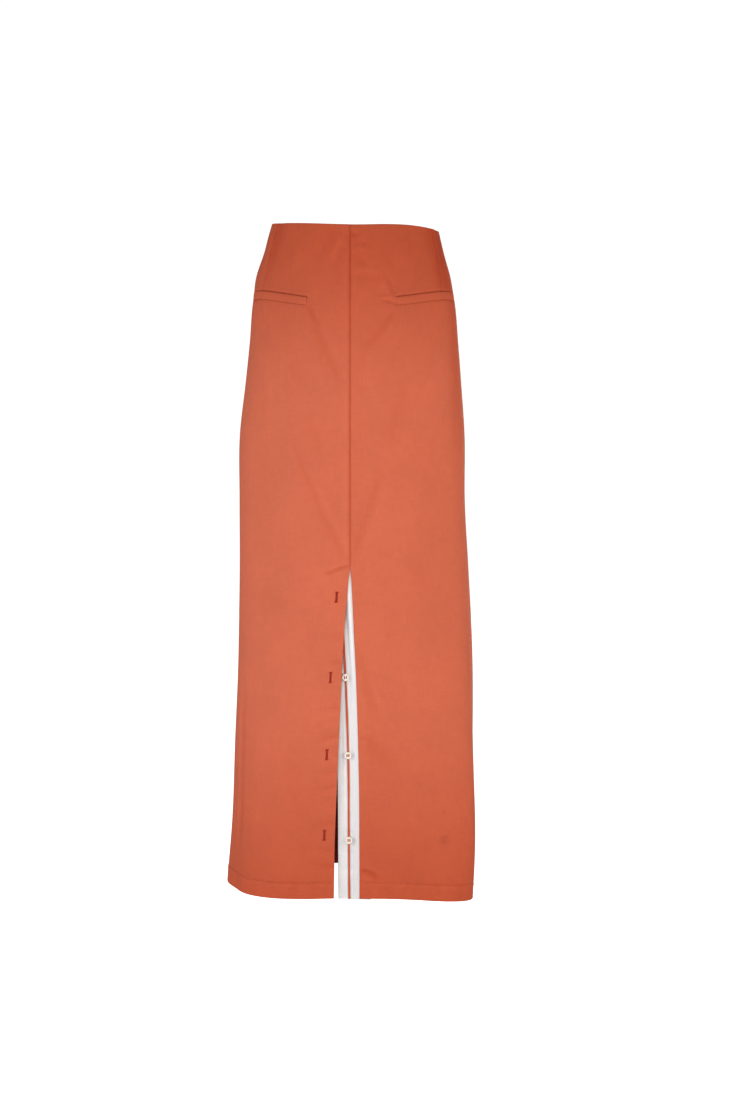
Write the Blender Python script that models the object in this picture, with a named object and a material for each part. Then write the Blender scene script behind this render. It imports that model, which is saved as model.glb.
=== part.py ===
"""A long high-waisted cotton skirt with a buttoned centre-front slit, as closed solids.

The skirt stands as it is worn: hollow, with the waist and the hem open. The origin is the middle of
the waist opening, where a waist holds it. The slit faces -Y, +Z is up and the wearer's left is at +X.
Every wall is a thin shell on one ring function, which blends a short table of sections down the
skirt, so that the panels, welts, underlap, tape and buttons all follow the same body of cloth.
"""

import math

import bmesh
import bpy
import numpy as np
from mathutils import Matrix, Vector

# ---------------------------------------------------------------- driving dimensions, in millimetres
MM = 0.001
LENGTH = 923.0  # centre front, waist edge to hem
CLOTH = 1.5  # wall of the terracotta cotton, with its turnings
SEAM_GAP = 0.3  # between sewn pieces
SECTION_COLUMNS = ("drop", "half_width", "shift", "front_depth", "back_depth", "squareness")
SECTIONS = (
    (0.0, 116.0, 7.0, 92.0, 95.0, 2.05),  # waist edge
    (55.0, 130.2, 4.8, 100.0, 108.0, 2.10),
    (105.0, 140.6, 4.8, 107.0, 121.0, 2.15),  # pocket line
    (160.0, 145.3, 5.0, 112.0, 132.0, 2.20),
    (215.0, 150.3, 4.3, 116.0, 139.0, 2.20),  # seat
    (290.0, 157.0, 2.6, 119.0, 141.0, 2.20),
    (380.0, 157.5, 2.5, 121.0, 139.0, 2.25),
    (472.0, 160.0, 5.1, 122.0, 137.0, 2.30),  # top of the slit
    (600.0, 164.4, 6.8, 124.0, 136.0, 2.40),
    (720.0, 167.2, 4.4, 126.0, 137.0, 2.50),
    (840.0, 168.4, 1.2, 129.0, 139.0, 2.60),
    (923.0, 168.5, -5.5, 131.0, 141.0, 2.65),  # hem
)
# soft vertical folds: where they start down the skirt, their angle there and at the hem, how far they
# stand out (in where negative) at the hem, and how many degrees wide they are round the ring
FOLD_COLUMNS = ("start", "angle_top", "angle_hem", "out", "width")
FOLDS = (
    (430.0, 62.0, 60.0, 24.5, 13.0),  # front corner of the wearer's left side
    (520.0, -84.0, -72.0, -5.0, 9.0),  # hollow near the other side seam
    (300.0, 142.0, 150.0, 6.0, 14.0),  # back flutes
    (330.0, -150.0, -146.0, 5.0, 13.0),
    (400.0, 172.0, -176.0, -6.0, 17.0),
)
# how far the two edges lie below or above their level at the centre front, round the ring
EDGE_COLUMNS = ("angle", "down")
WAIST_LINE = (
    (-180.0, 0.0),
    (-140.0, -2.0),
    (-88.0, -4.9),
    (-51.0, -3.2),
    (0.0, 0.0),
    (48.0, -0.3),
    (69.0, 3.0),
    (90.0, 6.3),
    (140.0, 2.0),
    (180.0, 0.0),
)
WAIST_FADE = 85.0  # the waist edge's line is lost this far down
HEM_LINE = (
    (-180.0, 0.0),
    (-90.0, -3.0),
    (-50.0, 2.5),
    (0.0, 0.0),
    (30.0, 2.5),
    (60.0, 9.0),
    (90.0, 3.0),
    (180.0, 0.0),
)

# slit: distance of each edge from the centre line, at points down the skirt
SLIT_TOP = 469.5
SLIT_COLUMNS = ("drop", "left_edge", "right_edge")
SLIT_EDGES = (
    (469.5, 0.15, 0.15),
    (486.0, 2.1, 1.7),
    (513.0, 4.2, 3.1),
    (541.0, 6.8, 4.4),
    (568.0, 8.6, 5.6),
    (624.0, 11.7, 8.2),
    (680.0, 14.3, 10.0),
    (764.0, 17.9, 12.0),
    (850.0, 21.2, 12.6),
    (923.0, 22.3, 12.8),
)

# underlap behind the slit, measured round the ring from the right edge of the slit
UNDERLAP_TOP = 455.0
UNDERLAP_WALL = 1.2
UNDERLAP_SEWN = 16.0  # lies behind the right front
UNDERLAP_REACH = 29.5  # shows past its edge, or lies behind the left front
UNDERLAP_STEP = 7.0  # over which it falls back from the right front
UNDERLAP_LATE = 5.5  # at the slit's top it falls back this much further from the edge
UNDERLAP_LATE_DROPS = (500.0, 600.0)  # between these it comes to fall back at the edge
UNDERLAP_BELOW = 1.5  # it ends this much below the fronts' hem
UNDERLAP_BEHIND = 4.2  # behind the inner face of the cloth, room for tape and buttons
TAPE_TOP = 474.0
TAPE_MIDDLE = 14.2  # from the right front's edge
TAPE_WIDTH = 2.7
TAPE_WALL = 1.0

# buttons, on the tape
BUTTON_DROPS = (511.0, 618.5, 726.0, 843.0)
BUTTON_DIAMETER = 10.0
BUTTON_WALL = 2.0
BUTTON_FOOT = 4.0  # radius of the flat under side
BUTTON_EDGE = 0.35  # roundings at the edge
BUTTON_RIM = 1.1
BUTTON_DISH = 0.5
BUTTON_HOLE = 1.4  # width of each of the four
BUTTON_HOLE_SPACING = 2.6  # between the holes, both ways
BUTTON_HOLES = ((-1, -1), (1, -1), (1, 1), (-1, 1))  # which way each lies from the middle

# pocket welts, lying on the fronts: arc from the centre line, and drop of the upper edge there
WELT_TABLE_COLUMNS = ("arc", "drop")
WELT_LINE = ((62.0, 99.0), (90.0, 95.0), (124.0, 91.0), (148.0, 89.7), (178.0, 92.0))
WELT_ASIDE = 2.0  # both lie this much towards +X
WELT_HEIGHT = 10.5
WELT_WALL = 1.2

# mesh steps
ROWS = 30
FRONT_COLUMNS = 16
BACK_COLUMNS = 15
STRIP_ROWS = 24
HANGING_COLUMNS = 4
STEP_COLUMNS = 5
WELT_COLUMNS = 12
BUTTON_SIDES = 24
HOLE_SIDES = 12
STEP_ANGLE = 0.2  # degrees, and the next in millimetres, for reading slopes off the ring
STEP_DROP = 1.0
ARC_REACH = 120.0  # degrees each way over which arcs are summed
ARC_SAMPLES = 361
SHARP_ANGLE = 40.0

TERRACOTTA = (0.56, 0.15, 0.078, 1.0)
TERRACOTTA_DARK = (0.50, 0.13, 0.07, 1.0)
WHITE = (0.80, 0.79, 0.78, 1.0)
OFF_WHITE = (0.83, 0.78, 0.70, 1.0)


# ---------------------------------------------------------------------------------- ring function
def table(rows, columns):
    """The table as one array for each named column."""
    return dict(zip(columns, np.array(rows, float).T))


SECTION = table(SECTIONS, SECTION_COLUMNS)
SLIT = table(SLIT_EDGES, SLIT_COLUMNS)
WAIST = table(WAIST_LINE, EDGE_COLUMNS)
HEM = table(HEM_LINE, EDGE_COLUMNS)
WELT = table(WELT_LINE, WELT_TABLE_COLUMNS)


def smooth_read(x, knots, values):
    """Values at the knots joined by a cubic whose slope at each knot is the mean of its two sides."""
    slopes = np.gradient(values, knots)
    i = np.clip(np.searchsorted(knots, x) - 1, 0, len(knots) - 2)
    span = knots[i + 1] - knots[i]
    u = np.clip((x - knots[i]) / span, 0.0, 1.0)
    start = values[i] * (1 + 2 * u) * (1 - u) ** 2 + slopes[i] * span * u * (1 - u) ** 2
    end = values[i + 1] * u * u * (3 - 2 * u) + slopes[i + 1] * span * u * u * (u - 1)
    return start + end


def smooth_step(x, low, high):
    """0 below low, 1 above high, and a smooth rise between them."""
    u = np.clip((x - low) / (high - low), 0.0, 1.0)
    return u * u * (3 - 2 * u)


def turned(angle):
    """An angle in degrees brought to between -180 and 180."""
    return (angle + 180.0) % 360.0 - 180.0


def fold_height(angle, drop):
    """How far the soft folds move the ring outwards: a bell across each fold, growing down to the hem."""
    height = np.zeros(np.broadcast(angle, drop).shape)
    for row in FOLDS:
        fold = dict(zip(FOLD_COLUMNS, row))
        down = smooth_step(drop, fold["start"], LENGTH)
        middle = fold["angle_top"] + turned(fold["angle_hem"] - fold["angle_top"]) * down
        height += fold["out"] * down * np.exp(-((turned(angle - middle) / fold["width"]) ** 2))
    return height


def ring(angle, drop):
    """Points of the cloth's middle surface. The ring is a rounded oval of superellipse form, deeper at
    the back than at the front, whose size comes from the section table at this drop. Its sides are
    shifted by the table's shift and its centre front and back aren't. Angle is 0 at the centre front
    and grows towards +X."""
    angle, drop = np.broadcast_arrays(np.asarray(angle, float), np.asarray(drop, float))
    read = {name: smooth_read(drop, SECTION["drop"], SECTION[name]) for name in SECTION_COLUMNS[1:]}
    side = np.sin(np.radians(angle))
    front = np.cos(np.radians(angle))
    depth = np.where(front >= 0, read["front_depth"], read["back_depth"])
    power = read["squareness"]
    radius = (np.abs(side / read["half_width"]) ** power + np.abs(front / depth) ** power) ** (-1 / power)
    radius = radius + fold_height(angle, drop)
    waist_down = smooth_read(turned(angle), WAIST["angle"], WAIST["down"])
    hem_down = smooth_read(turned(angle), HEM["angle"], HEM["down"])
    z = -drop - waist_down * (1 - smooth_step(drop, 0.0, WAIST_FADE)) - hem_down * drop / LENGTH
    return np.stack([read["shift"] * side**2 + radius * side, -radius * front, z], axis=-1)


def outward(angle, drop):
    """Unit normals of the ring surface, pointing out, from small steps both ways."""
    across = ring(angle + STEP_ANGLE, drop) - ring(angle - STEP_ANGLE, drop)
    down = ring(angle, drop + STEP_DROP) - ring(angle, drop - STEP_DROP)
    normal = np.cross(down, across)
    normal /= np.linalg.norm(normal, axis=-1, keepdims=True)
    return normal


def moved_out(angle, drop, distance):
    """Points of the ring surface moved along its outward normal."""
    distance = np.broadcast_to(distance, np.broadcast(angle, drop).shape)
    return ring(angle, drop) + outward(angle, drop) * distance[..., None]


def angle_at_arc(arc, drop):
    """Angles at given distances round the ring from the centre front, positive towards +X. The arc is
    summed along fine steps of the ring at each drop, and then read backwards."""
    arc, drop = np.broadcast_arrays(np.asarray(arc, float), np.asarray(drop, float))
    fine = np.linspace(-ARC_REACH, ARC_REACH, ARC_SAMPLES)
    out = np.empty(arc.shape)
    for i in np.ndindex(arc.shape):
        points = ring(fine, np.full(ARC_SAMPLES, drop[i]))
        steps = np.linalg.norm(np.diff(points, axis=0), axis=1)
        along = np.concatenate([[0.0], np.cumsum(steps)])
        along -= along[ARC_SAMPLES // 2]
        out[i] = np.interp(arc[i], along, fine)
    return out


def edge_arc(side, drop):
    """Arc from the centre line to a front's edge: half a seam gap, and the slit's edge below its top."""
    name = "left_edge" if side < 0 else "right_edge"
    open_by = smooth_read(np.maximum(drop, SLIT_TOP), SLIT["drop"], SLIT[name])
    return side * np.where(drop < SLIT_TOP, SEAM_GAP / 2, open_by)


# ------------------------------------------------------------------------------------ mesh helpers
def new_collection(name):
    collection = bpy.data.collections.new(name)
    bpy.context.scene.collection.children.link(collection)
    return collection


def make_material(name, color, roughness):
    material = bpy.data.materials.new(name)
    material.use_nodes = True
    shader = material.node_tree.nodes["Principled BSDF"]
    shader.inputs["Base Color"].default_value = color
    shader.inputs["Roughness"].default_value = roughness
    shader.inputs["Metallic"].default_value = 0.0
    material.diffuse_color = color
    return material


def closed_wall(name, outer, inner, material):
    """A wall between two grids of points with the same rows and columns: both faces and the four
    edges between them, as one closed mesh. The grids are in millimetres, columns running to +X
    across the front."""
    rows, columns = outer.shape[:2]
    index = np.arange(rows * columns).reshape(rows, columns)
    back = index + rows * columns

    def quads(grid):
        corners = (grid[:-1, :-1], grid[1:, :-1], grid[1:, 1:], grid[:-1, 1:])
        return np.stack([corner.ravel() for corner in corners], axis=1)

    def border(line, other):
        return np.stack([line[:-1], line[1:], other[1:], other[:-1]], axis=1)

    faces = [quads(index), quads(back)[:, ::-1]]
    faces.append(border(index[0], back[0]))
    faces.append(border(index[-1], back[-1])[:, ::-1])
    faces.append(border(index[:, 0], back[:, 0])[:, ::-1])
    faces.append(border(index[:, -1], back[:, -1]))
    points = np.concatenate([outer.reshape(-1, 3), inner.reshape(-1, 3)]) * MM
    mesh = bpy.data.meshes.new(name)
    mesh.from_pydata(points.tolist(), [], np.concatenate(faces).tolist())
    mesh.update()
    return add_object(name, mesh, material)


def add_object(name, mesh, material):
    piece = bpy.data.objects.new(name, mesh)
    mesh.materials.append(material)
    mesh.shade_smooth()
    mesh.set_sharp_from_angle(angle=math.radians(SHARP_ANGLE))
    skirt.objects.link(piece)
    return piece


def panel_rows():
    """Drops of a panel's rows, with one row at the top of the slit."""
    above = np.linspace(0.0, SLIT_TOP, ROWS // 2 + 1)
    below = np.linspace(SLIT_TOP, LENGTH, ROWS // 2 + 1)
    return np.concatenate([above, below[1:]])


# ------------------------------------------------------------------------------------ cloth pieces
def half_gap(reach):
    """Half a seam gap as degrees round the ring, where the ring is this far from its middle."""
    return np.degrees(SEAM_GAP / 2 / SECTION[reach].mean())


def make_front(side, name, material):
    """One front: from its side seam to the centre seam, and below that to its edge of the slit."""
    drop = panel_rows()[:, None]
    seam = angle_at_arc(edge_arc(side, drop), drop)
    share = np.linspace(0.0, 1.0, FRONT_COLUMNS + 1)[None, :]
    angle = seam + (side * (90.0 - half_gap("half_width")) - seam) * share
    if side < 0:
        angle = angle[:, ::-1]
    drop = np.broadcast_to(drop, angle.shape)
    outer = moved_out(angle, drop, CLOTH / 2)
    inner = moved_out(angle, drop, -CLOTH / 2)
    return closed_wall(name, outer, inner, material)


def make_back(side, name, material):
    """One half of the back: from its side seam to the centre-back seam."""
    drop = panel_rows()[:, None]
    side_seam = 90.0 + half_gap("half_width")
    centre_seam = 180.0 - half_gap("back_depth")
    angle = side * np.linspace(side_seam, centre_seam, BACK_COLUMNS + 1)[None, :]
    if side < 0:
        angle = angle[:, ::-1]
    drop, angle = np.broadcast_arrays(drop, angle)
    outer = moved_out(angle, drop, CLOTH / 2)
    inner = moved_out(angle, drop, -CLOTH / 2)
    return closed_wall(name, outer, inner, material)


def underlap_face(from_edge, drop):
    """Angle and depth of the underlap's outer face. It is sewn flat behind the right front, falls back
    over a short step at the front's edge, and hangs clear behind the left front. At the slit's top it
    stays close for longer."""
    angle = angle_at_arc(edge_arc(1, drop) - from_edge, drop)
    sewn = -(CLOTH / 2 + SEAM_GAP)
    hanging = -(CLOTH / 2 + UNDERLAP_BEHIND)
    late = UNDERLAP_LATE * (1 - smooth_step(drop, *UNDERLAP_LATE_DROPS))
    fall = smooth_step(from_edge - late, 0.0, UNDERLAP_STEP)
    return angle, sewn + (hanging - sewn) * fall


def make_underlap(name, material):
    drop = np.linspace(UNDERLAP_TOP, LENGTH + UNDERLAP_BELOW, STRIP_ROWS + 1)[:, None]
    fallen = UNDERLAP_STEP + UNDERLAP_LATE
    hanging = np.linspace(UNDERLAP_REACH, fallen, HANGING_COLUMNS + 1)
    step = np.linspace(fallen, 0.0, STEP_COLUMNS + 1)[1:]
    from_edge = np.concatenate([hanging, step, [-UNDERLAP_SEWN]])[None, :]
    from_edge, drop = np.broadcast_arrays(from_edge, drop)
    angle, depth = underlap_face(from_edge, drop)
    outer = moved_out(angle, drop, depth)
    inner = moved_out(angle, drop, depth - UNDERLAP_WALL)
    return closed_wall(name, outer, inner, material)


def make_tape(name, material):
    """The tape down the middle of the underlap, made from its points and moved out."""
    drop = np.linspace(TAPE_TOP, LENGTH + UNDERLAP_BELOW, STRIP_ROWS + 1)[:, None]
    from_edge = np.array([TAPE_MIDDLE + TAPE_WIDTH / 2, TAPE_MIDDLE - TAPE_WIDTH / 2])[None, :]
    from_edge, drop = np.broadcast_arrays(from_edge, drop)
    angle, depth = underlap_face(from_edge, drop)
    outer = moved_out(angle, drop, depth + SEAM_GAP + TAPE_WALL)
    inner = moved_out(angle, drop, depth + SEAM_GAP)
    return closed_wall(name, outer, inner, material)


def make_welt(side, name, material):
    """A pocket welt on one front: a strip that rises towards the side, moved out from the front."""
    arc = np.linspace(WELT["arc"][0], WELT["arc"][-1], WELT_COLUMNS + 1)[None, :]
    down = np.array([0.0, 0.5, 1.0])[:, None] * WELT_HEIGHT
    drop = smooth_read(arc, WELT["arc"], WELT["drop"]) + down
    arc, drop = np.broadcast_arrays(side * arc + WELT_ASIDE, drop)
    angle = angle_at_arc(arc, drop)
    if side < 0:
        angle, drop = angle[:, ::-1], drop[:, ::-1]
    start = CLOTH / 2 + SEAM_GAP
    outer = moved_out(angle, drop, start + WELT_WALL)
    inner = moved_out(angle, drop, start)
    return closed_wall(name, outer, inner, material)


# ---------------------------------------------------------------------------------------- buttons
def button_blank(name):
    """A turned button: a flat foot, a rounded edge, a raised rim and a dished middle."""
    radius = BUTTON_DIAMETER / 2
    floor = BUTTON_WALL - BUTTON_DISH
    profile = (
        (0.0, 0.0),
        (BUTTON_FOOT, 0.0),
        (radius - BUTTON_EDGE / 2, BUTTON_WALL / 4),
        (radius, BUTTON_WALL / 2),
        (radius - BUTTON_EDGE, BUTTON_WALL),
        (radius - BUTTON_RIM, BUTTON_WALL - BUTTON_EDGE / 2),
        (radius - BUTTON_RIM - BUTTON_DISH, floor),
        (0.0, floor),
    )
    shape = bmesh.new()
    line = [shape.verts.new((r * MM, 0.0, h * MM)) for r, h in profile]
    for low, high in zip(line, line[1:]):
        shape.edges.new((low, high))
    bmesh.ops.spin(
        shape,
        geom=shape.verts[:] + shape.edges[:],
        cent=(0.0, 0.0, 0.0),
        axis=(0.0, 0.0, 1.0),
        angle=math.tau,
        steps=BUTTON_SIDES,
        use_merge=True,
    )
    bmesh.ops.remove_doubles(shape, verts=shape.verts, dist=1e-6)
    bmesh.ops.recalc_face_normals(shape, faces=shape.faces)
    mesh = bpy.data.meshes.new(name)
    shape.to_mesh(mesh)
    shape.free()
    return mesh


def hole_cutter(name, aside, up):
    """A drill for one thread hole of a button, this far aside and up from its middle."""
    shape = bmesh.new()
    bmesh.ops.create_cone(
        shape,
        cap_ends=True,
        segments=HOLE_SIDES,
        radius1=BUTTON_HOLE / 2 * MM,
        radius2=BUTTON_HOLE / 2 * MM,
        depth=4 * BUTTON_WALL * MM,
        matrix=Matrix.Translation((aside * MM, up * MM, 0.0)),
    )
    mesh = bpy.data.meshes.new(name)
    shape.to_mesh(mesh)
    shape.free()
    cutter = bpy.data.objects.new(name, mesh)
    cutter.hide_render = True
    cutter.display_type = "WIRE"
    cutters.objects.link(cutter)
    return cutter


def make_buttons(material):
    """The buttons, each seated on the tape and square to the underlap there."""
    blank = button_blank("button")
    for number, button_drop in enumerate(BUTTON_DROPS, start=1):
        drop = np.array([button_drop])
        angle, depth = underlap_face(np.array([TAPE_MIDDLE]), drop)
        out = Vector(outward(angle, drop)[0])
        seat = Vector(moved_out(angle, drop, depth + 2 * SEAM_GAP + TAPE_WALL)[0]) * MM
        button = add_object(f"button_{number}", blank.copy(), material)
        button.matrix_world = Matrix.Translation(seat) @ out.to_track_quat("Z", "Y").to_matrix().to_4x4()
        half = BUTTON_HOLE_SPACING / 2
        for hole, (aside, up) in enumerate(BUTTON_HOLES, start=1):
            cutter = hole_cutter(f"thread_hole_{number}_{hole}", aside * half, up * half)
            cutter.matrix_world = button.matrix_world
            drill = button.modifiers.new(f"thread hole {hole}", "BOOLEAN")
            drill.operation = "DIFFERENCE"
            drill.object = cutter
    bpy.data.meshes.remove(blank)


# ------------------------------------------------------------------------------------------- build
for leftover in list(bpy.data.objects):
    bpy.data.objects.remove(leftover, do_unlink=True)

skirt = new_collection("midi_skirt")
cutters = new_collection("cutters")

make_front(-1, "front_left", make_material("front cotton, left", TERRACOTTA, 0.85))
make_front(1, "front_right", make_material("front cotton, right", TERRACOTTA, 0.85))
make_back(-1, "back_left", make_material("back cotton, left", TERRACOTTA, 0.85))
make_back(1, "back_right", make_material("back cotton, right", TERRACOTTA, 0.85))
make_underlap("slit_underlap", make_material("white cotton", WHITE, 0.8))
make_tape("underlap_tape", make_material("tape", TERRACOTTA_DARK, 0.8))
make_welt(-1, "pocket_welt_left", make_material("welt cotton, left", TERRACOTTA, 0.85))
make_welt(1, "pocket_welt_right", make_material("welt cotton, right", TERRACOTTA, 0.85))
make_buttons(make_material("button", OFF_WHITE, 0.35))
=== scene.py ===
"""The looks of a long terracotta cotton skirt with a buttoned slit: its cloth, turnings, darts, welts,
white underlap, tape, four-hole buttons, worked buttonholes and hem stitches.

Lengths are in millimetres until a mesh is made. "Across" is the distance round the skirt from the
centre line, positive towards +X, "drop" is the distance below the waist edge and "level" is the
distance out from the middle of the cloth's wall.
"""

import math

import bpy
import numpy as np
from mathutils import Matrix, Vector


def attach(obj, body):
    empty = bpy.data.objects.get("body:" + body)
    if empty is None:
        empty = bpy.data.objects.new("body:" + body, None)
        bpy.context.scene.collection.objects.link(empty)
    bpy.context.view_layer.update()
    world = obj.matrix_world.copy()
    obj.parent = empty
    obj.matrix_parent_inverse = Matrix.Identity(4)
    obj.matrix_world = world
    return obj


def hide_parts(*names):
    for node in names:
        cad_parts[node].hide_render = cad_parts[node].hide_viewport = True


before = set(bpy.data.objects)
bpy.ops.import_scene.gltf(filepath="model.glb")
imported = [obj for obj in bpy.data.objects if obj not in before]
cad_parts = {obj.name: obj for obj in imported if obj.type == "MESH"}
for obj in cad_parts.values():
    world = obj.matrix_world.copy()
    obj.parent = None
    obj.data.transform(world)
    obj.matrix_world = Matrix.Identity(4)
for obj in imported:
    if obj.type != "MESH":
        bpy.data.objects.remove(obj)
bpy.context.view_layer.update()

# ---- sizes of the skirt, as in its solids
MM = 0.001
LENGTH = 923.0
CLOTH = 1.5
SEAM_GAP = 0.3
# cross-sections down the skirt; the shift moves both sides towards +X
SECTION_COLUMNS = ("drop", "half_width", "shift", "front_depth", "back_depth", "squareness")
SECTIONS = (
    (0, 116, 7, 92, 95, 2.05),
    (55, 130.2, 4.8, 100, 108, 2.1),
    (105, 140.6, 4.8, 107, 121, 2.15),
    (160, 145.3, 5, 112, 132, 2.2),
    (215, 150.3, 4.3, 116, 139, 2.2),
    (290, 157, 2.6, 119, 141, 2.2),
    (380, 157.5, 2.5, 121, 139, 2.25),
    (472, 160, 5.1, 122, 137, 2.3),
    (600, 164.4, 6.8, 124, 136, 2.4),
    (720, 167.2, 4.4, 126, 137, 2.5),
    (840, 168.4, 1.2, 129, 139, 2.6),
    (923, 168.5, -5.5, 131, 141, 2.65),
)
# soft folds that grow down to the hem: where each starts, its angle there and at the hem, how far out
# it stands at the hem and its width in degrees
FOLD_COLUMNS = ("start", "angle_top", "angle_hem", "out", "width")
FOLDS = (
    (430, 62, 60, 24.5, 13),
    (520, -84, -72, -5, 9),
    (300, 142, 150, 6, 14),
    (330, -150, -146, 5, 13),
    (400, 172, -176, -6, 17),
)
# how far below its level the waist edge and the hem lie, round the skirt
EDGE_COLUMNS = ("angle", "down")
WAIST_LINE = (
    (-180, 0),
    (-140, -2),
    (-88, -4.9),
    (-51, -3.2),
    (0, 0),
    (48, -0.3),
    (69, 3),
    (90, 6.3),
    (140, 2),
    (180, 0),
)
WAIST_FADE = 85.0
HEM_LINE = (
    (-180, 0),
    (-90, -3),
    (-50, 2.5),
    (0, 0),
    (30, 2.5),
    (60, 9),
    (90, 3),
    (180, 0),
)
# distance of the slit's two edges from the centre line
SLIT_TOP = 469.5
SLIT_COLUMNS = ("drop", "left_edge", "right_edge")
SLIT_EDGES = (
    (469.5, 0.15, 0.15),
    (486, 2.1, 1.7),
    (513, 4.2, 3.1),
    (541, 6.8, 4.4),
    (568, 8.6, 5.6),
    (624, 11.7, 8.2),
    (680, 14.3, 10),
    (764, 17.9, 12),
    (850, 21.2, 12.6),
    (923, 22.3, 12.8),
)
# underlap: how far it reaches both ways from the right front's edge, and the step over which it falls
# back behind the left front, which is later at the slit's top
UNDERLAP_TOP = 455.0
UNDERLAP_WALL = 1.2
UNDERLAP_SEWN = 16.0
UNDERLAP_REACH = 29.5
UNDERLAP_STEP = 7.0
UNDERLAP_LATE = 5.5
UNDERLAP_LATE_DROPS = (500.0, 600.0)
UNDERLAP_BELOW = 1.5
UNDERLAP_BEHIND = 4.2
TAPE_TOP = 474.0
TAPE_MIDDLE = 14.2
TAPE_WIDTH = 2.7
TAPE_WALL = 1.0
BUTTON_DROPS = (511.0, 618.5, 726.0, 843.0)
BUTTON_HOLE = 1.4
BUTTON_HOLE_SPACING = 2.6
# pocket mouths, measured from a line a little to +X of the centre line
WELT_COLUMNS = ("arc", "drop")
WELT_LINE = ((62.0, 99.0), (90.0, 95.0), (124.0, 91.0), (148.0, 89.7), (178.0, 92.0))
WELT_ASIDE = 2.0
WELT_HEIGHT = 10.5

# ---- how the cloth is made
FABRIC = 0.5  # thickness of one layer of the cotton
SEWN_GAP = 0.02  # left between two panels where a seam holds them together
HALF = FABRIC / 2
FACE_LEVEL = 0.45  # middle of the layer that shows
FOLD_RADIUS = 0.55  # of a folded edge
MID_LEVEL = FACE_LEVEL - FOLD_RADIUS
TURNED_LEVEL = MID_LEVEL - FOLD_RADIUS  # middle of the layer turned in at the waist and the hem
TURNING_DEPTH = 0.3  # the pressed-open seam turnings lie this far behind the middle of a fold
WAIST_TURNING = 12.0
HEM_TURNING = 24.0
SEAM_TURNING = 12.0
SLIT_TURNING_LEFT = 27.0  # wide enough to carry the buttonholes
SLIT_TURNING_RIGHT = 14.0
BEND_STEPS = 8
ROLL_STEPS = 5
RIM = (0.0, 0.06, 0.25)  # distances from a raw edge over which the layer's edge is rounded
RIM_LEAST = 0.25  # share of the thickness left at a raw edge
RIM_START = 1.5  # evenly spaced rows and columns stop this far from a raw edge
WAIST_TURNING_ROWS = 6
HEM_TURNING_ROWS = 9
TURNING_COLUMNS = 7
CLEAR_OF_FOLD = 0.6  # no row of the face lies closer to its folds
UNDER_TURNING = 0.03  # share of its depth that a seam's turning keeps under the waist's and the hem's
TURNING_CLEAR = 6.0  # distance from those over which it comes to its full depth
CLOTH_SHARP = 60.0  # edges that turn by more degrees are drawn sharp
HARD_SHARP = 50.0
# rows down the cloth: from, to and spacing
FRONT_SPANS = (
    (0, 84, 2.8),
    (84, 113, 0.85),
    (113, 455, 3.7),
    (455, 492, 1.1),
    (492, 590, 3.4),
    (590, 876, 2.8),
    (876, LENGTH, 1.7),
)
SLIT_TURNING_SPANS = (
    (2, 455, 4.6),
    (455, 492, 1.3),
    (492, 590, 3.8),
    (590, 876, 3.2),
    (876, LENGTH - 2, 2),
)
SIDE_TURNING_SPANS = ((2, 84, 5), (84, 113, 1), (113, LENGTH - 2, 5))
BACK_SPANS = ((0, 886, 3.1), (886, LENGTH, 1.6))
BACK_TURNING_SPANS = ((2, LENGTH - 2, 5),)
DART_CLUSTER = (-6.0, -3.8, -2.3, -1.3, -0.6, 0.0, 0.6, 1.3, 2.3, 3.8, 6.0)
INNER_COLUMNS = 45  # from the centre line to the dart
OUTER_COLUMNS = 33  # from the dart to the side seam

# darts: distance of each from the centre line at points down the skirt
DART_COLUMNS = ("drop", "front_left", "front_right", "back")
DARTS = (
    (0, 122.5, 129, 84),
    (45, 130.5, 138, 83),
    (90, 138.5, 143, 81),
    (140, 142, 146, 80),
    (LENGTH, 150, 150, 110),
)
FRONT_DART_END = 91.0  # at the pocket mouths
FRONT_DART_FADE = 2.0
BACK_DART_END = 128.0
BACK_DART_FADE = 25.0
SEAM_FADE = 12.0  # the centre seam's line fades out over this distance above the slit
SEAM_OPENS = 6.0  # its two edges part over this distance
SLIT_TURNING_DROPS = (SLIT_TOP - 30.0, SLIT_TOP + 10.0)  # over which the slit's turnings grow wider

# relief across each seam, as bells: how far each stands from the seam's line, away from the centre
# line, its width and its height; the centre seam has its own on the left front and on the right one
DART_PROFILE = ((0.0, 1.2, -0.8), (-3.0, 2.2, 0.22))
BACK_DART_PROFILE = ((0.0, 1.2, -0.8), (-3.0, 2.4, 0.25))
CENTRE_PROFILES = {-1: ((0.0, 1.5, -0.5), (6.0, 5.0, 0.45)), 1: ((0.0, 1.5, -0.5), (9.0, 10.0, -0.3))}
BACK_CENTRE_PROFILE = ((0.0, 1.5, -0.4),)
# down across a pocket: a recess at its mouth, a ridge above that and the seam below the welt; and
# across the welt's inner end
MOUTH_PROFILE = ((-0.9, 1.1, -1.7), (-4.2, 2.0, 0.35), (WELT_HEIGHT + 0.2, 0.9, -0.8))
MOUTH_REACH = (60.0, 63.0, 175.0, 181.0)
WELT_END_PROFILE = ((61.4, 0.9, -0.4),)
WELT_END_DROPS = (-2.0, 0.0, WELT_HEIGHT, WELT_HEIGHT + 1.5)
SEAM_RIPPLE = 0.11
SEAM_RIPPLE_REACH = 6.0
CALM_AT_SIDE = 14.0  # creases die out over this distance from the side seams

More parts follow.
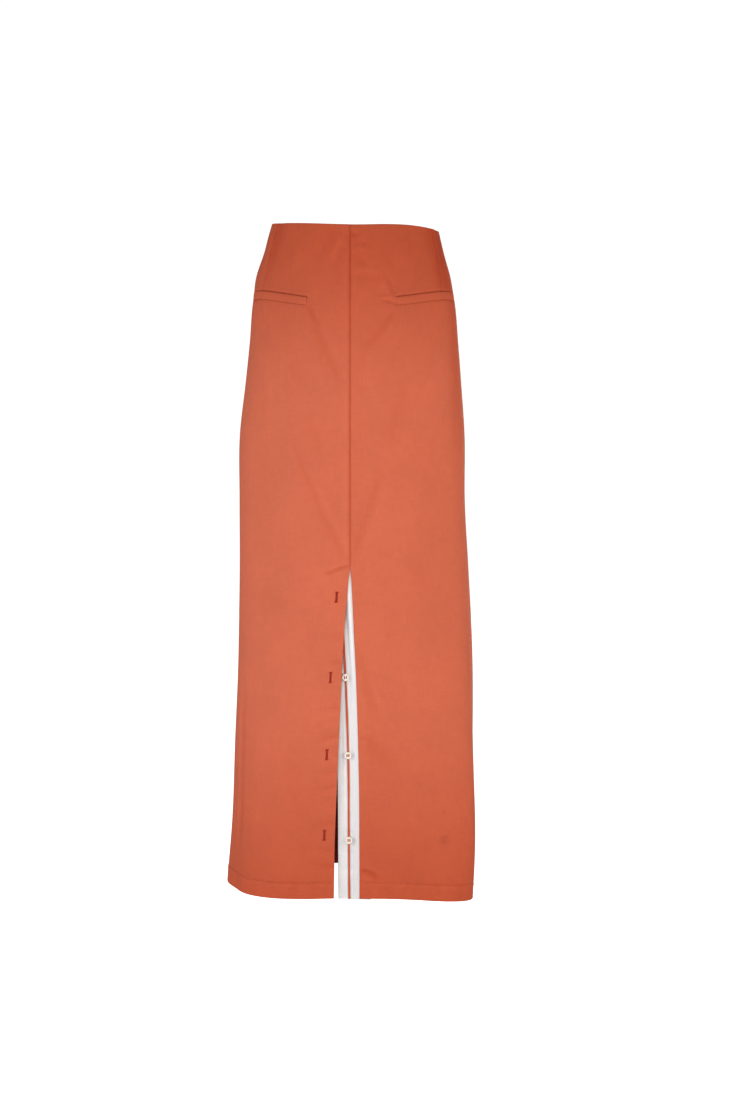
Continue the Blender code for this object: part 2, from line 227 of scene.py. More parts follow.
# shade drawn in the seams and beside them, in the same way, as depths that the cloth doesn't have
DART_SHADE = ((0.0, 1.3, -2.2),)
CENTRE_SHADE = ((0.0, 1.5, -1.6),)
BACK_DART_SHADE = ((0.0, 1.3, -1.4),)
BACK_CENTRE_SHADE = ((0.0, 1.5, -1.4),)
INSIDE_DART_SHADE = ((-6.0, 9.0, -1.2),)
OUTSIDE_DART_SHADE = -2.4
OUTSIDE_DART_REACH = (-24.0, 10.0, 12.0, 48.0)  # from the dart's line
ABOVE_WELT_DROPS = (FRONT_DART_END - 12.0, FRONT_DART_END + 2.0)
OUTLINE_SHADE = -1.8  # down the right outline, below the pocket
OUTLINE_REACH = (146.0, 166.0, 172.0, 200.0)  # from the centre line
OUTLINE_DROPS = (170.0, 400.0)

# soft creases: where each starts and ends, how wide, how high (a trough where negative), how far it
# bows sideways, and over what share of its length it fades in and out
CREASE_COLUMNS = ("across", "drop", "to_across", "to_drop", "width", "height", "bow", "fade_in", "fade_out")
FRONT_CREASES = (
    # pulls from the inner ends of the pockets
    (-61, 108, -41, 146, 3.2, -1.6, 1, 0.1, 0.45),
    (-52, 126, -5, 224, 5.5, -1.25, -3, 0.25, 0.4),
    (-44, 122, 2, 214, 9, 0.5, -3, 0.3, 0.5),
    (61, 118, 49, 134, 2.6, -1.28, 0.5, 0.15, 0.4),
    (56, 124, 14, 172, 4.6, -1.52, 2, 0.2, 0.35),
    (28, 214, 5, 229, 4, -0.5, 1, 0.35, 0.2),
    (64, 128, 30, 172, 7, 0.45, 2, 0.25, 0.5),
    (42, 103.5, 65.5, 109, 2, -0.96, 1.5, 0.35, 0.1),
    (44, 98, 66, 101, 2.6, 0.64, 1, 0.35, 0.2),
    (35, 95.5, 62, 95.5, 2.4, -0.4, 0, 0.3, 0.3),
    (50, 68, 62, 97, 2.6, -0.96, 1, 0.35, 0.15),
    (44, 74, 55, 100, 4, 0.56, 1, 0.35, 0.25),
    # beside the top of the centre seam
    (2.5, 16, 12, 8, 3.2, -0.75, 0.5, 0.15, 0.6),
    (-2.5, 16, -10, 22, 3.2, -0.65, 0.5, 0.15, 0.6),
    (-10, 9, -37, 62, 6.5, 0.8, 2, 0.2, 0.5),
    (-20, 3, -52, 52, 8, -0.7, 2, 0.15, 0.5),
    (-2, 20, -22, 64, 6, -0.55, -2, 0.2, 0.5),
    (-9, 13.5, -1, 14.5, 2.6, -0.55, 0, 0.3, 0.05),
    (1, 14, 11, 12, 2.8, -0.65, 0, 0.05, 0.4),
    (2, 24, 40, 36, 4, -0.5, 3, 0.1, 0.5),
    (4, 31, 34, 27, 4.5, 0.35, -2, 0.15, 0.5),
    (14, 44, 24, 55, 5, -0.45, 0, 0.35, 0.35),
    (2, 42, 30, 50, 5, -0.35, -2, 0.15, 0.45),
    (3, 64, 54, 62, 5, 0.45, 1.5, 0.1, 0.4),
    (6, 73, 48, 71, 6, -0.56, 1, 0.2, 0.5),
    # between the centre seam and the darts
    (44, 36, 70, 63, 5, -0.4, -2, 0.35, 0.4),
    (60, 26, 92, 62, 8, 0.35, -3, 0.35, 0.45),
    (72, 14, 104, 46, 8, -0.35, 3, 0.3, 0.45),
    (-66, 20, -92, 70, 11, 0.45, 4, 0.3, 0.45),
    (-84, 10, -108, 66, 11, -0.45, 4, 0.3, 0.45),
    # hollows and ridges along the darts
    (-110, -6, -124, 70, 12, -1.5, 0, 0.03, 0.5),
    (-131, 4, -146, 86, 6, 0.5, 0, 0.1, 0.35),
    (144, -8, 158, 94, 9, -1.3, 0, 0.03, 0.12),
    (112, 2, 124, 40, 9, -0.8, 0, 0.1, 0.6),
    # lines that run down to the top of the slit, and short ones above and beside it
    (-92, 262, -1, 462, 5.2, -1.15, -5, 0.45, 0.06),
    (-72, 300, 2, 452, 8, 0.5, -5, 0.5, 0.15),
    (-64, 244, -34, 322, 6.5, -0.65, -2, 0.4, 0.4),
    (-84, 170, -58, 238, 8, -0.6, -3, 0.4, 0.45),
    (49, 308, 3, 455, 5.4, -1, 3, 0.35, 0.12),
    (62, 316, 12, 452, 8, 0.35, 3, 0.4, 0.2),
    (78, 196, 50, 312, 8, -0.65, 4, 0.4, 0.3),
    (-38, 479.5, -1, 465.5, 1.9, -2.2, 1.5, 0.3, 0.03),
    (-34, 473, -3, 462, 3.4, 0.5, 1, 0.3, 0.15),
    (3, 474, 22, 482, 3, -0.3, 0, 0.1, 0.6),
    (-99, 420, -86, 452, 5, -0.35, 1, 0.4, 0.4),
    # soft drags over the hips and the thighs
    (-150, 150, -104, 262, 14, 0.35, 6, 0.4, 0.45),
    (-166, 176, -118, 292, 13, -0.3, 6, 0.4, 0.45),
    (148, 160, 108, 280, 14, 0.35, -6, 0.4, 0.45),
    (-128, 470, -96, 600, 16, -0.25, 5, 0.4, 0.45),
    (112, 430, 76, 560, 16, -0.22, -5, 0.4, 0.45),
    (-60, 540, -52, 616, 6, -0.4, 2, 0.4, 0.4),
    # beside the right edge of the slit
    (14, 582, 45, 682, 3.4, -1.2, -4, 0.25, 0.4),
    (23, 596, 55, 690, 5, 0.6, -3, 0.3, 0.45),
    (16, 622, 36, 676, 2.4, -0.9, -2, 0.25, 0.35),
    (13, 700.5, 34, 706, 2.8, -1.3, 0.5, 0.05, 0.5),
    (18, 703, 68, 752, 12, -1.1, 4, 0.2, 0.5),
    (34, 700, 84, 742, 10, 0.35, 4, 0.35, 0.5),
    (15, 883, 48, 902, 3.2, -2.1, 1.5, 0.1, 0.45),
    (18, 876, 56, 896, 5, 0.8, 1.5, 0.2, 0.45),
    (20, 892, 60, 908, 4, 0.6, 1.5, 0.2, 0.45),
    (60, 812, 112, 872, 13, -0.35, 5, 0.4, 0.4),
    # lower right, fine slanting marks
    (170, 748, 136, 806, 4, -0.4, 2, 0.35, 0.4),
    (160, 770, 126, 824, 3.2, -0.32, 1.5, 0.35, 0.4),
    (164, 764, 130, 818, 3.6, 0.3, 1.5, 0.35, 0.4),
    (176, 792, 144, 848, 3.6, -0.35, -2, 0.35, 0.4),
    (150, 812, 122, 852, 3, -0.26, 1, 0.35, 0.4),
    (196, 690, 164, 812, 9, 0.55, 4, 0.4, 0.4),
    # lower left, long soft lines down the side
    (-181, 600, -197, 880, 4.5, 1.1, 3, 0.4, 0.2),
    (-170, 590, -184, 884, 7, -1.2, 3, 0.4, 0.2),
    (-120, 660, -134, 868, 15, 0.55, -5, 0.4, 0.3),
    (-92, 700, -70, 842, 13, -0.4, 5, 0.4, 0.4),
)
# short puckers that the turning of the slit's left edge pulls into the cloth: drop, reach from the
# edge, fall over that reach, width and height
PUCKER_COLUMNS = ("drop", "reach", "fall", "width", "height")
EDGE_PUCKERS = (
    (505, 22, 3, 3.4, -0.72),
    (560, 26, 5, 4, -0.6),
    (597, 24, 2, 3.2, -0.96),
    (628, 20, -3, 3.4, 0.72),
    (660, 26, 2, 2.8, -1.2),
    (668, 22, 2, 3.4, 0.72),
    (696, 30, 9, 3, -1.32),
    (704, 28, 8, 3.6, 0.84),
    (732, 24, 1, 3.2, 0.84),
    (748, 26, 1, 2.6, -1.08),
    (769, 30, 3, 2.8, -1.2),
    (777, 24, 3, 3.2, 0.72),
    (803, 22, -2, 3.4, 0.84),
    (818, 28, 2, 2.8, -1.08),
    (858, 24, -4, 3, -0.96),
    (880, 30, -5, 3.2, -1.08),
)
BACK_CREASES = (
    # drags over the hollow of the back, below the waist
    (-4, 30, -74, 46, 6, -0.8, 4, 0.08, 0.5),
    (-3, 42, -88, 66, 8, 0.65, 5, 0.1, 0.5),
    (3, 36, 66, 54, 6, -0.75, -4, 0.08, 0.5),
    (4, 52, 84, 70, 8, 0.6, -5, 0.1, 0.5),
    (-6, 66, -60, 84, 6, -0.55, 3, 0.15, 0.5),
    (5, 74, 58, 92, 6, -0.5, -3, 0.15, 0.5),
    # pulls from the tips of the darts
    (-82, 124, -60, 210, 9, -0.6, -4, 0.25, 0.5),
    (-96, 118, -122, 204, 10, 0.55, 4, 0.3, 0.5),
    (80, 126, 54, 206, 9, -0.55, 4, 0.25, 0.5),
    (94, 122, 128, 214, 10, 0.5, -4, 0.3, 0.5),
    # under the seat
    (-104, 262, -22, 320, 9, -1.1, 9, 0.35, 0.35),
    (-112, 280, -28, 344, 12, 0.8, 9, 0.35, 0.35),
    (96, 270, 18, 334, 9, -1, -8, 0.35, 0.35),
    (110, 292, 26, 356, 12, 0.75, -8, 0.35, 0.35),
    (-150, 196, -84, 250, 10, -0.6, 5, 0.4, 0.45),
    (152, 206, 92, 262, 10, -0.55, -5, 0.4, 0.45),
    # behind the knees and down to the hem
    (-74, 470, -8, 528, 9, -0.85, 6, 0.35, 0.35),
    (70, 496, 10, 548, 9, -0.8, -6, 0.35, 0.35),
    (-62, 512, -14, 570, 11, 0.6, 5, 0.35, 0.35),
    (118, 470, 92, 640, 15, 0.8, -7, 0.4, 0.4),
    (-132, 500, -112, 700, 15, -0.8, 7, 0.4, 0.4),
    (-44, 640, -58, 880, 16, 0.95, 5, 0.4, 0.15),
    (-84, 660, -102, 884, 15, -0.95, 5, 0.4, 0.15),
    (40, 680, 52, 888, 16, -0.85, -5, 0.4, 0.15),
    (84, 640, 104, 880, 16, 0.8, -5, 0.4, 0.15),
    (150, 690, 168, 884, 12, -0.7, -4, 0.4, 0.15),
    (-160, 720, -172, 886, 12, 0.65, 4, 0.4, 0.15),
)
# long shallow waves of the hanging cloth: how many go round the skirt, their phase and their drift from
# waist to hem in degrees, and their height at the waist and at the hem
WAVE_COLUMNS = ("turns", "phase", "drift", "height_waist", "height_hem")
WAVES = (
    (5, 20, 70, 0.15, 0.9),
    (8, 110, -160, 0.1, 0.6),
    (13, 40, 240, 0.08, 0.35),
    (21, 200, -420, 0.05, 0.16),
)

# places where the side seams stand out or in: angle, drop, width in degrees, height down, and how far
BULGE_COLUMNS = ("angle", "drop", "width", "tall", "out")
SIDE_BULGES = (
    (-90, 71, 16, 19, 2.3),
    (-90, 36, 14, 14, -0.8),
    (90, 66, 16, 20, 1.3),
)

# worked buttonholes on the left front: drop of each and its distance from the slit's edge
BUTTONHOLES = ((508.0, 14.6), (618.0, 15.3), (724.0, 15.6), (835.0, 14.6))
BUTTONHOLE_LENGTH = 15.0
BUTTONHOLE_WIDTH = 2.8
BUTTONHOLE_CUT = 0.4
BAR_TACK_WIDTH = 4.7
BAR_TACK_STRANDS = 6
BAR_TACK_PITCH = 0.34
SATIN_PITCH = 0.42
SATIN_RADIUS = 0.24
SATIN_SUNK = 0.12  # the ends of a stitch lie this far down in the cloth
CORD_RADIUS = 0.22

# hem stitches, which catch the turning a little below its raw edge
HEM_STITCH_DROP = LENGTH - HEM_TURNING + 1.5
HEM_STITCH_PITCH = 6.8
HEM_STITCH_LENGTH = 2.6
HEM_STITCH_RADIUS = 0.26
HEM_STITCH_RISE = 0.14
HEM_STITCH_SUNK = 0.20
HEM_STITCH_SLANT = 0.22
HEM_RIDGE = ((4.5, 2.6, 0.35),)
# the stitched line: its least depth, how much deeper it is where it is drawn in most, and its width
HEM_DIP = (0.12, 0.45, 1.8)
HEM_SHADE = (0.1, 1.9, 1.3)
HEM_RIPPLE = 0.30
HEM_RIPPLE_DROPS = (HEM_STITCH_DROP - 2, HEM_STITCH_DROP + 4, LENGTH - 7, LENGTH - 1)

# ---- studio, in metres
FLOOR_DEPTH = -1.35
FLOOR_RADIUS = 9.0
FLOOR_RINGS = 24
FLOOR_CORNERS = 96
CAMERA_PLACE = (0.03135, -3.8, -0.2)
CAMERA_PITCH = 4.0  # degrees below level
CAMERA_LENS = 86.79
SENSOR = 36.0


# ---- ring function
def table(rows, columns):
    """The table as one array for each named column."""
    return dict(zip(columns, np.array(rows, float).T))


def named_rows(rows, columns):
    """Each row of the table with its values under their names."""
    return [dict(zip(columns, row)) for row in rows]


SECTION = table(SECTIONS, SECTION_COLUMNS)
SLIT = table(SLIT_EDGES, SLIT_COLUMNS)
WAIST = table(WAIST_LINE, EDGE_COLUMNS)
HEM = table(HEM_LINE, EDGE_COLUMNS)
WELT = table(WELT_LINE, WELT_COLUMNS)
DART = table(DARTS, DART_COLUMNS)


def smooth_read(x, knots, values):
    """Values at the knots joined by a cubic whose slope at each knot is the mean of its two sides."""
    slopes = np.gradient(values, knots)
    i = np.clip(np.searchsorted(knots, x) - 1, 0, len(knots) - 2)
    span = knots[i + 1] - knots[i]
    u = np.clip((x - knots[i]) / span, 0.0, 1.0)
    start = values[i] * (1 + 2 * u) * (1 - u) ** 2 + slopes[i] * span * u * (1 - u) ** 2
    end = values[i + 1] * u * u * (3 - 2 * u) + slopes[i + 1] * span * u * u * (u - 1)
    return start + end


def smooth_step(x, low, high):
    """0 below low, 1 above high, and a smooth rise between them."""
    u = np.clip((x - low) / (high - low), 0.0, 1.0)
    return u * u * (3 - 2 * u)


def smooth_fall(x, low, high):
    """1 below low, 0 above high, and a smooth fall between them."""
    return 1 - smooth_step(x, low, high)


def plateau(x, low, start, end, high):
    """1 from start to end, 0 below low and above high, and smooth slopes between them."""
    return smooth_step(x, low, start) * smooth_fall(x, end, high)


def rounded(distance, radius, least):
    """Share of the full size near an end: a quarter circle of this radius, cut off at the least."""
    return np.sqrt(np.clip(1 - (1 - distance / radius).clip(0) ** 2, least**2, 1.0))


def squared_off(x, power):
    """The value's size raised to a power, with its sign kept."""
    return np.sign(x) * np.abs(x) ** power


def full_turn(corners):
    """Angles of evenly spaced corners round a full turn."""
    return np.arange(corners) * math.tau / corners


def running_length(steps):
    """The sum of the steps up to each point, along the last axis, from 0."""
    start = np.zeros(steps.shape[:-1] + (1,))
    return np.concatenate([start, np.cumsum(steps, axis=-1)], axis=-1)


def turned(angle):
    """An angle in degrees brought to between -180 and 180."""
    return (angle + 180.0) % 360.0 - 180.0


def fold_height(angle, drop):
    """How far the soft folds move the ring outwards: a bell across each fold, growing to the hem."""
    height = np.zeros(np.broadcast(angle, drop).shape)
    for fold in named_rows(FOLDS, FOLD_COLUMNS):
        down = smooth_step(drop, fold["start"], LENGTH)
        middle = fold["angle_top"] + turned(fold["angle_hem"] - fold["angle_top"]) * down
        height += fold["out"] * down * np.exp(-((turned(angle - middle) / fold["width"]) ** 2))
    return height


def ring(angle, drop):
    """Points of the wall's middle surface: radius = (|sin/half width|^p + |cos/depth|^p)^(-1/p), with
    the sizes and p read from the section table at this drop, plus the folds."""
    angle, drop = np.broadcast_arrays(np.asarray(angle, float), np.asarray(drop, float))
    read = {name: smooth_read(drop, SECTION["drop"], SECTION[name]) for name in SECTION_COLUMNS[1:]}
    side = np.sin(np.radians(angle))
    front = np.cos(np.radians(angle))
    depth = np.where(front >= 0, read["front_depth"], read["back_depth"])
    power = read["squareness"]
    radius = (np.abs(side / read["half_width"]) ** power + np.abs(front / depth) ** power) ** (-1 / power)
    radius = radius + fold_height(angle, drop)
    waist_down = smooth_read(turned(angle), WAIST["angle"], WAIST["down"])
    hem_down = smooth_read(turned(angle), HEM["angle"], HEM["down"])
    z = -drop - waist_down * smooth_fall(drop, 0.0, WAIST_FADE) - hem_down * drop / LENGTH
    return np.stack([read["shift"] * side**2 + radius * side, -radius * front, z], axis=-1)


def outward(angle, drop):
    """Unit normals of the ring surface, pointing out, from small steps both ways."""
    across = ring(angle + 0.2, drop) - ring(angle - 0.2, drop)
    down = ring(angle, drop + 1.0) - ring(angle, drop - 1.0)
    normal = np.cross(down, across)
    return normal / np.linalg.norm(normal, axis=-1, keepdims=True)


def moved_out(angle, drop, level):
    """Points of the ring surface moved along its outward normal."""
    angle, drop, level = np.broadcast_arrays(angle, drop, level)
    return ring(angle, drop) + outward(angle, drop) * level[..., None]


def read_grid(grid, rows, columns, row, column):
    """The grid's value between its four nearest points; rows and columns are evenly spaced."""
    y = np.clip((row - rows[0]) / (rows[1] - rows[0]), 0, len(rows) - 1.001)
    x = np.clip((column - columns[0]) / (columns[1] - columns[0]), 0, len(columns) - 1.001)
    i, j = y.astype(int), x.astype(int)
    y, x = y - i, x - j
    low = grid[i, j] * (1 - x) + grid[i, j + 1] * x
    high = grid[i + 1, j] * (1 - x) + grid[i + 1, j + 1] * x
    return low * (1 - y) + high * y


class Measure:
    """Distances round the skirt from a centre line. The distance is the sum of short steps of the
    ring at each drop, and its reverse is read off at even distances."""

    drops = np.linspace(-4.0, LENGTH + 4.0, 240)
    arcs = np.arange(-330.0, 331.0, 2.0)
    angles = np.linspace(-120.0, 120.0, 481)
    middle = len(angles) // 2

    def __init__(self, centre, turn):
        self.centre = centre
        self.turn = turn
        points = ring(centre + turn * self.angles[None, :], self.drops[:, None])
        along = running_length(np.linalg.norm(np.diff(points, axis=1), axis=2))
        self.along = along - along[:, self.middle, None]
        place = (self.along[:, None, :] < self.arcs[None, :, None]).sum(axis=2)
        place = place.clip(1, len(self.angles) - 1)
        low = np.take_along_axis(self.along, place - 1, 1)
        high = np.take_along_axis(self.along, place, 1)
        part = (self.arcs - low) / (high - low)
        self.reached = self.angles[place - 1] + part * (self.angles[1] - self.angles[0])

    def angle(self, across, drop):
        """Angle of the ring at this distance from the centre line."""
        across, drop = np.broadcast_arrays(across, drop)
        return self.centre + self.turn * read_grid(self.reached, self.drops, self.arcs, drop, across)

    def across(self, from_centre, drop):
        """Distance from the centre line at an angle that is measured from it, positive to +X."""
        from_centre, drop = np.broadcast_arrays(from_centre, drop)
        return read_grid(self.along, self.drops, self.angles, drop, from_centre)


FRONT = Measure(0.0, 1.0)
BACK = Measure(180.0, -1.0)


def edge_arc(side, drop):
    """Distance from the centre line to a front's edge: half a seam gap, and the slit's edge below."""
    name = "left_edge" if side < 0 else "right_edge"
    open_by = smooth_read(np.maximum(drop, SLIT_TOP), SLIT["drop"], SLIT[name])
    return np.where(drop < SLIT_TOP, SEAM_GAP / 2, open_by)


def welt_line(across):
    """Drop of the pocket mouths at a distance from the centre line, each mouth lying a little to +X."""
    arc = np.abs(across - WELT_ASIDE)
    return smooth_read(np.clip(arc, WELT["arc"][0], WELT["arc"][-1]), WELT["arc"], WELT["drop"])


# ---- relief of cloth
def bell(x, width):
    """exp(-(x / width)^2): 1 at 0, falling off both ways."""
    return np.exp(-((x / width) ** 2))


def profile(distance, bells):
    """Sum of the bells across a line."""
    return sum(height * bell(distance - aside, width) for aside, width, height in bells)


def waves(angle, drop):
    """Long shallow waves: a cosine round the skirt that drifts and grows on its way down, and the
    bulges of the side seams."""
    height = np.zeros(np.broadcast(angle, drop).shape)
    down = drop / LENGTH
    for wave in named_rows(WAVES, WAVE_COLUMNS):
        turn = wave["turns"] * angle + wave["phase"] + wave["drift"] * down
        size = wave["height_waist"] + (wave["height_hem"] - wave["height_waist"]) * down
        height += size * np.cos(np.radians(turn))
    for bulge in named_rows(SIDE_BULGES, BULGE_COLUMNS):
        aside = bell(turned(angle - bulge["angle"]), bulge["width"])
        height += bulge["out"] * aside * bell(drop - bulge["drop"], bulge["tall"])
    return height


def creases(rows, across, drop):
    """Soft troughs and ridges: a bell across a line that bows as a parabola, with faded ends."""
    height = np.zeros(across.shape)
    for crease in named_rows(rows, CREASE_COLUMNS):
        run = np.array([crease["to_across"] - crease["across"], crease["to_drop"] - crease["drop"]])
        length = np.hypot(*run)
        x, y = across - crease["across"], drop - crease["drop"]
        along = (x * run[0] + y * run[1]) / length**2
        aside = (x * run[1] - y * run[0]) / length - crease["bow"] * 4 * along * (1 - along)
        fade = plateau(along, 0.0, crease["fade_in"], 1 - crease["fade_out"], 1.0)
        height += crease["height"] * fade * bell(aside, crease["width"])
    return height


def edge_puckers(from_edge, drop):
    """Short puckers square to the slit's left edge, strongest at the edge and lost inwards."""
    height = np.zeros(from_edge.shape)
    for pucker in named_rows(EDGE_PUCKERS, PUCKER_COLUMNS):
        inwards = from_edge / pucker["reach"]
        line = pucker["drop"] + pucker["fall"] * inwards
        height += pucker["height"] * smooth_fall(inwards, 0.2, 1.3) * bell(drop - line, pucker["width"])
    return height


def seam_puckers(distance, drop, phase):
    """Small uneven ripples down a seam: sines that don't share a length, within a few millimetres of
    the stitches."""
    ripple = np.sin(drop / 4.3 + phase) + 0.8 * np.sin(drop / 7.1 + 2 * phase) * np.sin(drop / 23.0)
    ripple += 0.7 * np.sin(drop / 2.6 + 3 * phase) * np.sin(drop / 31.0 + phase)
    return SEAM_RIPPLE * ripple * bell(distance, SEAM_RIPPLE_REACH)


def drape(measure, across, drop):
    """Waves and creases of the cloth, the same for all that lies on it. Creases die out at the side
    seams, so that the panels meet."""
    angle = measure.angle(across, drop)
    side = np.abs(measure.across(np.where(across < 0, -90.0, 90.0), drop))
    calm = smooth_step(side - np.abs(across), 0.0, CALM_AT_SIDE)
    rows = FRONT_CREASES if measure is FRONT else BACK_CREASES
    return waves(angle, drop) + calm * creases(rows, across, drop)


def front_seams(across, drop):
    """How strong the dart and the centre seam are here, and the distances from their lines."""
    size = np.abs(across)
    left = smooth_read(drop, DART["drop"], DART["front_left"])
    right = smooth_read(drop, DART["drop"], DART["front_right"])
    from_dart = size - np.where(across < 0, left, right)
    from_edge = size - np.where(across < 0, edge_arc(-1, drop), edge_arc(1, drop))
    on_dart = smooth_fall(drop, FRONT_DART_END - FRONT_DART_FADE, FRONT_DART_END)
    sewn = smooth_fall(drop, SLIT_TOP - SEAM_FADE, SLIT_TOP)
    return on_dart, from_dart, sewn, from_edge


def back_dart(across, drop):
    """How strong a back's dart is here, and the distance from its line."""
    from_dart = np.abs(across) - smooth_read(drop, DART["drop"], DART["back"])
    return smooth_fall(drop, BACK_DART_END - BACK_DART_FADE, BACK_DART_END), from_dart


def front_lines(across, drop):
    """The shade of a front's seams. Both fronts are shaded on the inner side of their dart, and the
    right one also softly outside it and down its outline below the pocket."""
    on_dart, from_dart, sewn, from_edge = front_seams(across, drop)
    lines = on_dart * profile(from_dart, DART_SHADE) + sewn * profile(from_edge, CENTRE_SHADE)
    inside = profile(from_dart, INSIDE_DART_SHADE) * (from_dart < 0)
    outside = OUTSIDE_DART_SHADE * plateau(from_dart, *OUTSIDE_DART_REACH) * (across > 0)
    above_welt = smooth_fall(drop, *ABOVE_WELT_DROPS)
    below_welt = (1 - above_welt) * smooth_fall(drop, *OUTLINE_DROPS)
    lines = lines + above_welt * (inside + outside)
    lines = lines + OUTLINE_SHADE * below_welt * plateau(across, *OUTLINE_REACH)
    return lines + stitched_line(across, drop, *HEM_SHADE)


def back_lines(across, drop):
    """The shade of a back's seams."""
    on_dart, from_dart = back_dart(across, drop)
    lines = on_dart * profile(from_dart, BACK_DART_SHADE) + profile(across, BACK_CENTRE_SHADE)
    return lines + stitched_line(across, drop, *HEM_SHADE)


def front_relief(across, drop):
    """Everything that shapes a front's face: its drape, the dart, the recess of the pocket mouth and
    the seams round the welt, the ripples at the seams, the puckers at the slit and the hem's line."""
    height = drape(FRONT, across, drop)
    left = across < 0
    on_dart, from_dart, sewn, from_edge = front_seams(across, drop)
    height += on_dart * (profile(from_dart, DART_PROFILE) + seam_puckers(from_dart, drop, 1.7))
    arc = np.abs(across - WELT_ASIDE)
    below = drop - welt_line(across)
    height += plateau(arc, *MOUTH_REACH) * profile(below, MOUTH_PROFILE)
    height += plateau(below, *WELT_END_DROPS) * profile(arc, WELT_END_PROFILE)
    seam = np.where(left, profile(from_edge, CENTRE_PROFILES[-1]), profile(from_edge, CENTRE_PROFILES[1]))
    height += sewn * (seam + seam_puckers(from_edge, drop, 0.4))
    height += left * (1 - sewn) * edge_puckers(from_edge, drop)
    return height + hem_relief(across, drop)


def back_relief(across, drop):
    """A back's face: its drape, the dart, the ripples at the centre seam and the hem's line."""
    height = drape(BACK, across, drop)
    on_dart, from_dart = back_dart(across, drop)
    height += on_dart * (profile(from_dart, BACK_DART_PROFILE) + seam_puckers(from_dart, drop, 2.9))
    height += profile(across, BACK_CENTRE_PROFILE) + seam_puckers(across, drop, 1.1)
    return height + hem_relief(across, drop)


def stitched_line(across, drop, depth, deeper, width):
    """A line along the hem's stitches, drawn in halfway between each two of them, and unevenly."""
    patchy = 0.5 + 0.5 * np.sin(across / 13.0 + 0.7) * np.sin(across / 7.3)
    drawn_in = patchy * (0.5 + 0.5 * np.cos(across * math.tau / HEM_STITCH_PITCH))
    return -(depth + deeper * drawn_in) * bell(drop - HEM_STITCH_DROP, width)


def hem_relief(across, drop):
    """The hem's stitched line, with a soft ridge below it and small uneven puckers of the turned hem:
    sines that don't share a length."""
    height = profile(drop - HEM_STITCH_DROP, HEM_RIDGE) + stitched_line(across, drop, *HEM_DIP)
    uneven = np.sin(across / 2.9 + drop / 9.0) * np.sin(across / 17.0) + 0.8 * np.sin(across / 5.3 + 1.0)
    return height + HEM_RIPPLE * uneven * plateau(drop, *HEM_RIPPLE_DROPS)


# ---- mesh making
class Parts:
    """Vertices, faces and cloth coordinates of one piece, gathered grid by grid, with 1 at each vertex
    on the wrong side of the cloth and 0 elsewhere, where the material paints the inside's dark shade, and
    the height of its crease in millimetres, from which it paints shade in troughs and light on ridges."""

    def __init__(self):
        self.points = []
        self.faces = []
        self.places = []
        self.wrong = []
        self.crease = []
        self.count = 0

    def add(self, points, faces, places, wrong=0.0, crease=0.0):
        self.points.append(points.reshape(-1, 3))
        self.wrong.append(np.broadcast_to(wrong, points.shape[:-1]).ravel())
        self.crease.append(np.broadcast_to(crease, points.shape[:-1]).ravel())
        self.places.append(np.broadcast_to(places, points.shape[:-1] + (2,)).reshape(-1, 2))
        self.faces += [tuple(face) for face in (np.asarray(faces) + self.count).tolist()]
        self.count += self.points[-1].shape[0]

    def make(self, name, material, sharp=None):
        """One object at the origin, its mesh in metres, with the coordinates in a UV map."""
        mesh = bpy.data.meshes.new(name)
        mesh.from_pydata((np.concatenate(self.points) * MM).tolist(), [], self.faces)
        mesh.update()
        layer = mesh.uv_layers.new(name="cloth")
        corner = np.empty(len(mesh.loops), dtype=np.int32)
        mesh.loops.foreach_get("vertex_index", corner)
        layer.data.foreach_set("uv", (np.concatenate(self.places) * MM)[corner].ravel())
        for attribute, values in (("inside_shade", self.wrong), ("crease", self.crease)):
            mesh.attributes.new(attribute, "FLOAT", "POINT").data.foreach_set("value", np.concatenate(values))
        mesh.shade_smooth()
        if sharp is not None:
            mesh.set_sharp_from_angle(angle=math.radians(sharp))
        mesh.materials.append(material)
        piece = bpy.data.objects.new(name, mesh)
        bpy.context.scene.collection.objects.link(piece)
        return piece


def quads(grid):
    """Faces between neighbouring rows and columns of a grid of vertex numbers."""
    corners = (grid[:-1, :-1], grid[1:, :-1], grid[1:, 1:], grid[:-1, 1:])
    return np.stack([corner.ravel() for corner in corners], axis=1)


def grid_normals(points):
    """Unit normals of a grid of points: the step down the rows crossed with the step along them."""
    normal = np.cross(np.gradient(points, axis=0), np.gradient(points, axis=1))
    size = np.linalg.norm(normal, axis=-1, keepdims=True)
    for edge, beside in ((0, 1), (-1, -2)):
        folded_flat = size[:, edge] < 1e-9
        normal[:, edge] = np.where(folded_flat, normal[:, beside], normal[:, edge])
        size[:, edge] = np.where(folded_flat, size[:, beside], size[:, edge])
    return normal / size


def add_layer(parts, points, half, places, crease=0.0, turned_over=False, turned_in=0.0):
    """One layer of cloth as a closed wall: each point of its middle surface moved half its thickness
    both ways along its normal, and the four edges between the two faces. The wrong side is the one
    against the normal, unless the layer is turned over, and it takes the inside's painted shade. Where
    it is turned in, both sides take that painted shade."""
    normal = grid_normals(points)
    half = np.broadcast_to(half, points.shape[:2])[..., None]
    rows, columns = points.shape[:2]
    index = np.arange(rows * columns).reshape(rows, columns)
    back = index + rows * columns

    def border(line, other):
        return np.stack([line[:-1], line[1:], other[1:], other[:-1]], axis=1)

    faces = np.concatenate(
        [
            quads(index),
            quads(back)[:, ::-1],
            border(index[0], back[0]),
            border(index[-1], back[-1])[:, ::-1],
            border(index[:, 0], back[:, 0])[:, ::-1],
            border(index[:, -1], back[:, -1]),
        ]
    )
    both = np.stack([points + normal * half, points - normal * half])
    right = np.broadcast_to(turned_in, points.shape[:2]).astype(float)
    wrong = np.stack([1 + 0 * right, right] if turned_over else [right, 1 + 0 * right])
    parts.add(both, faces, np.broadcast_to(places, both.shape[:-1] + (2,)), wrong, crease)


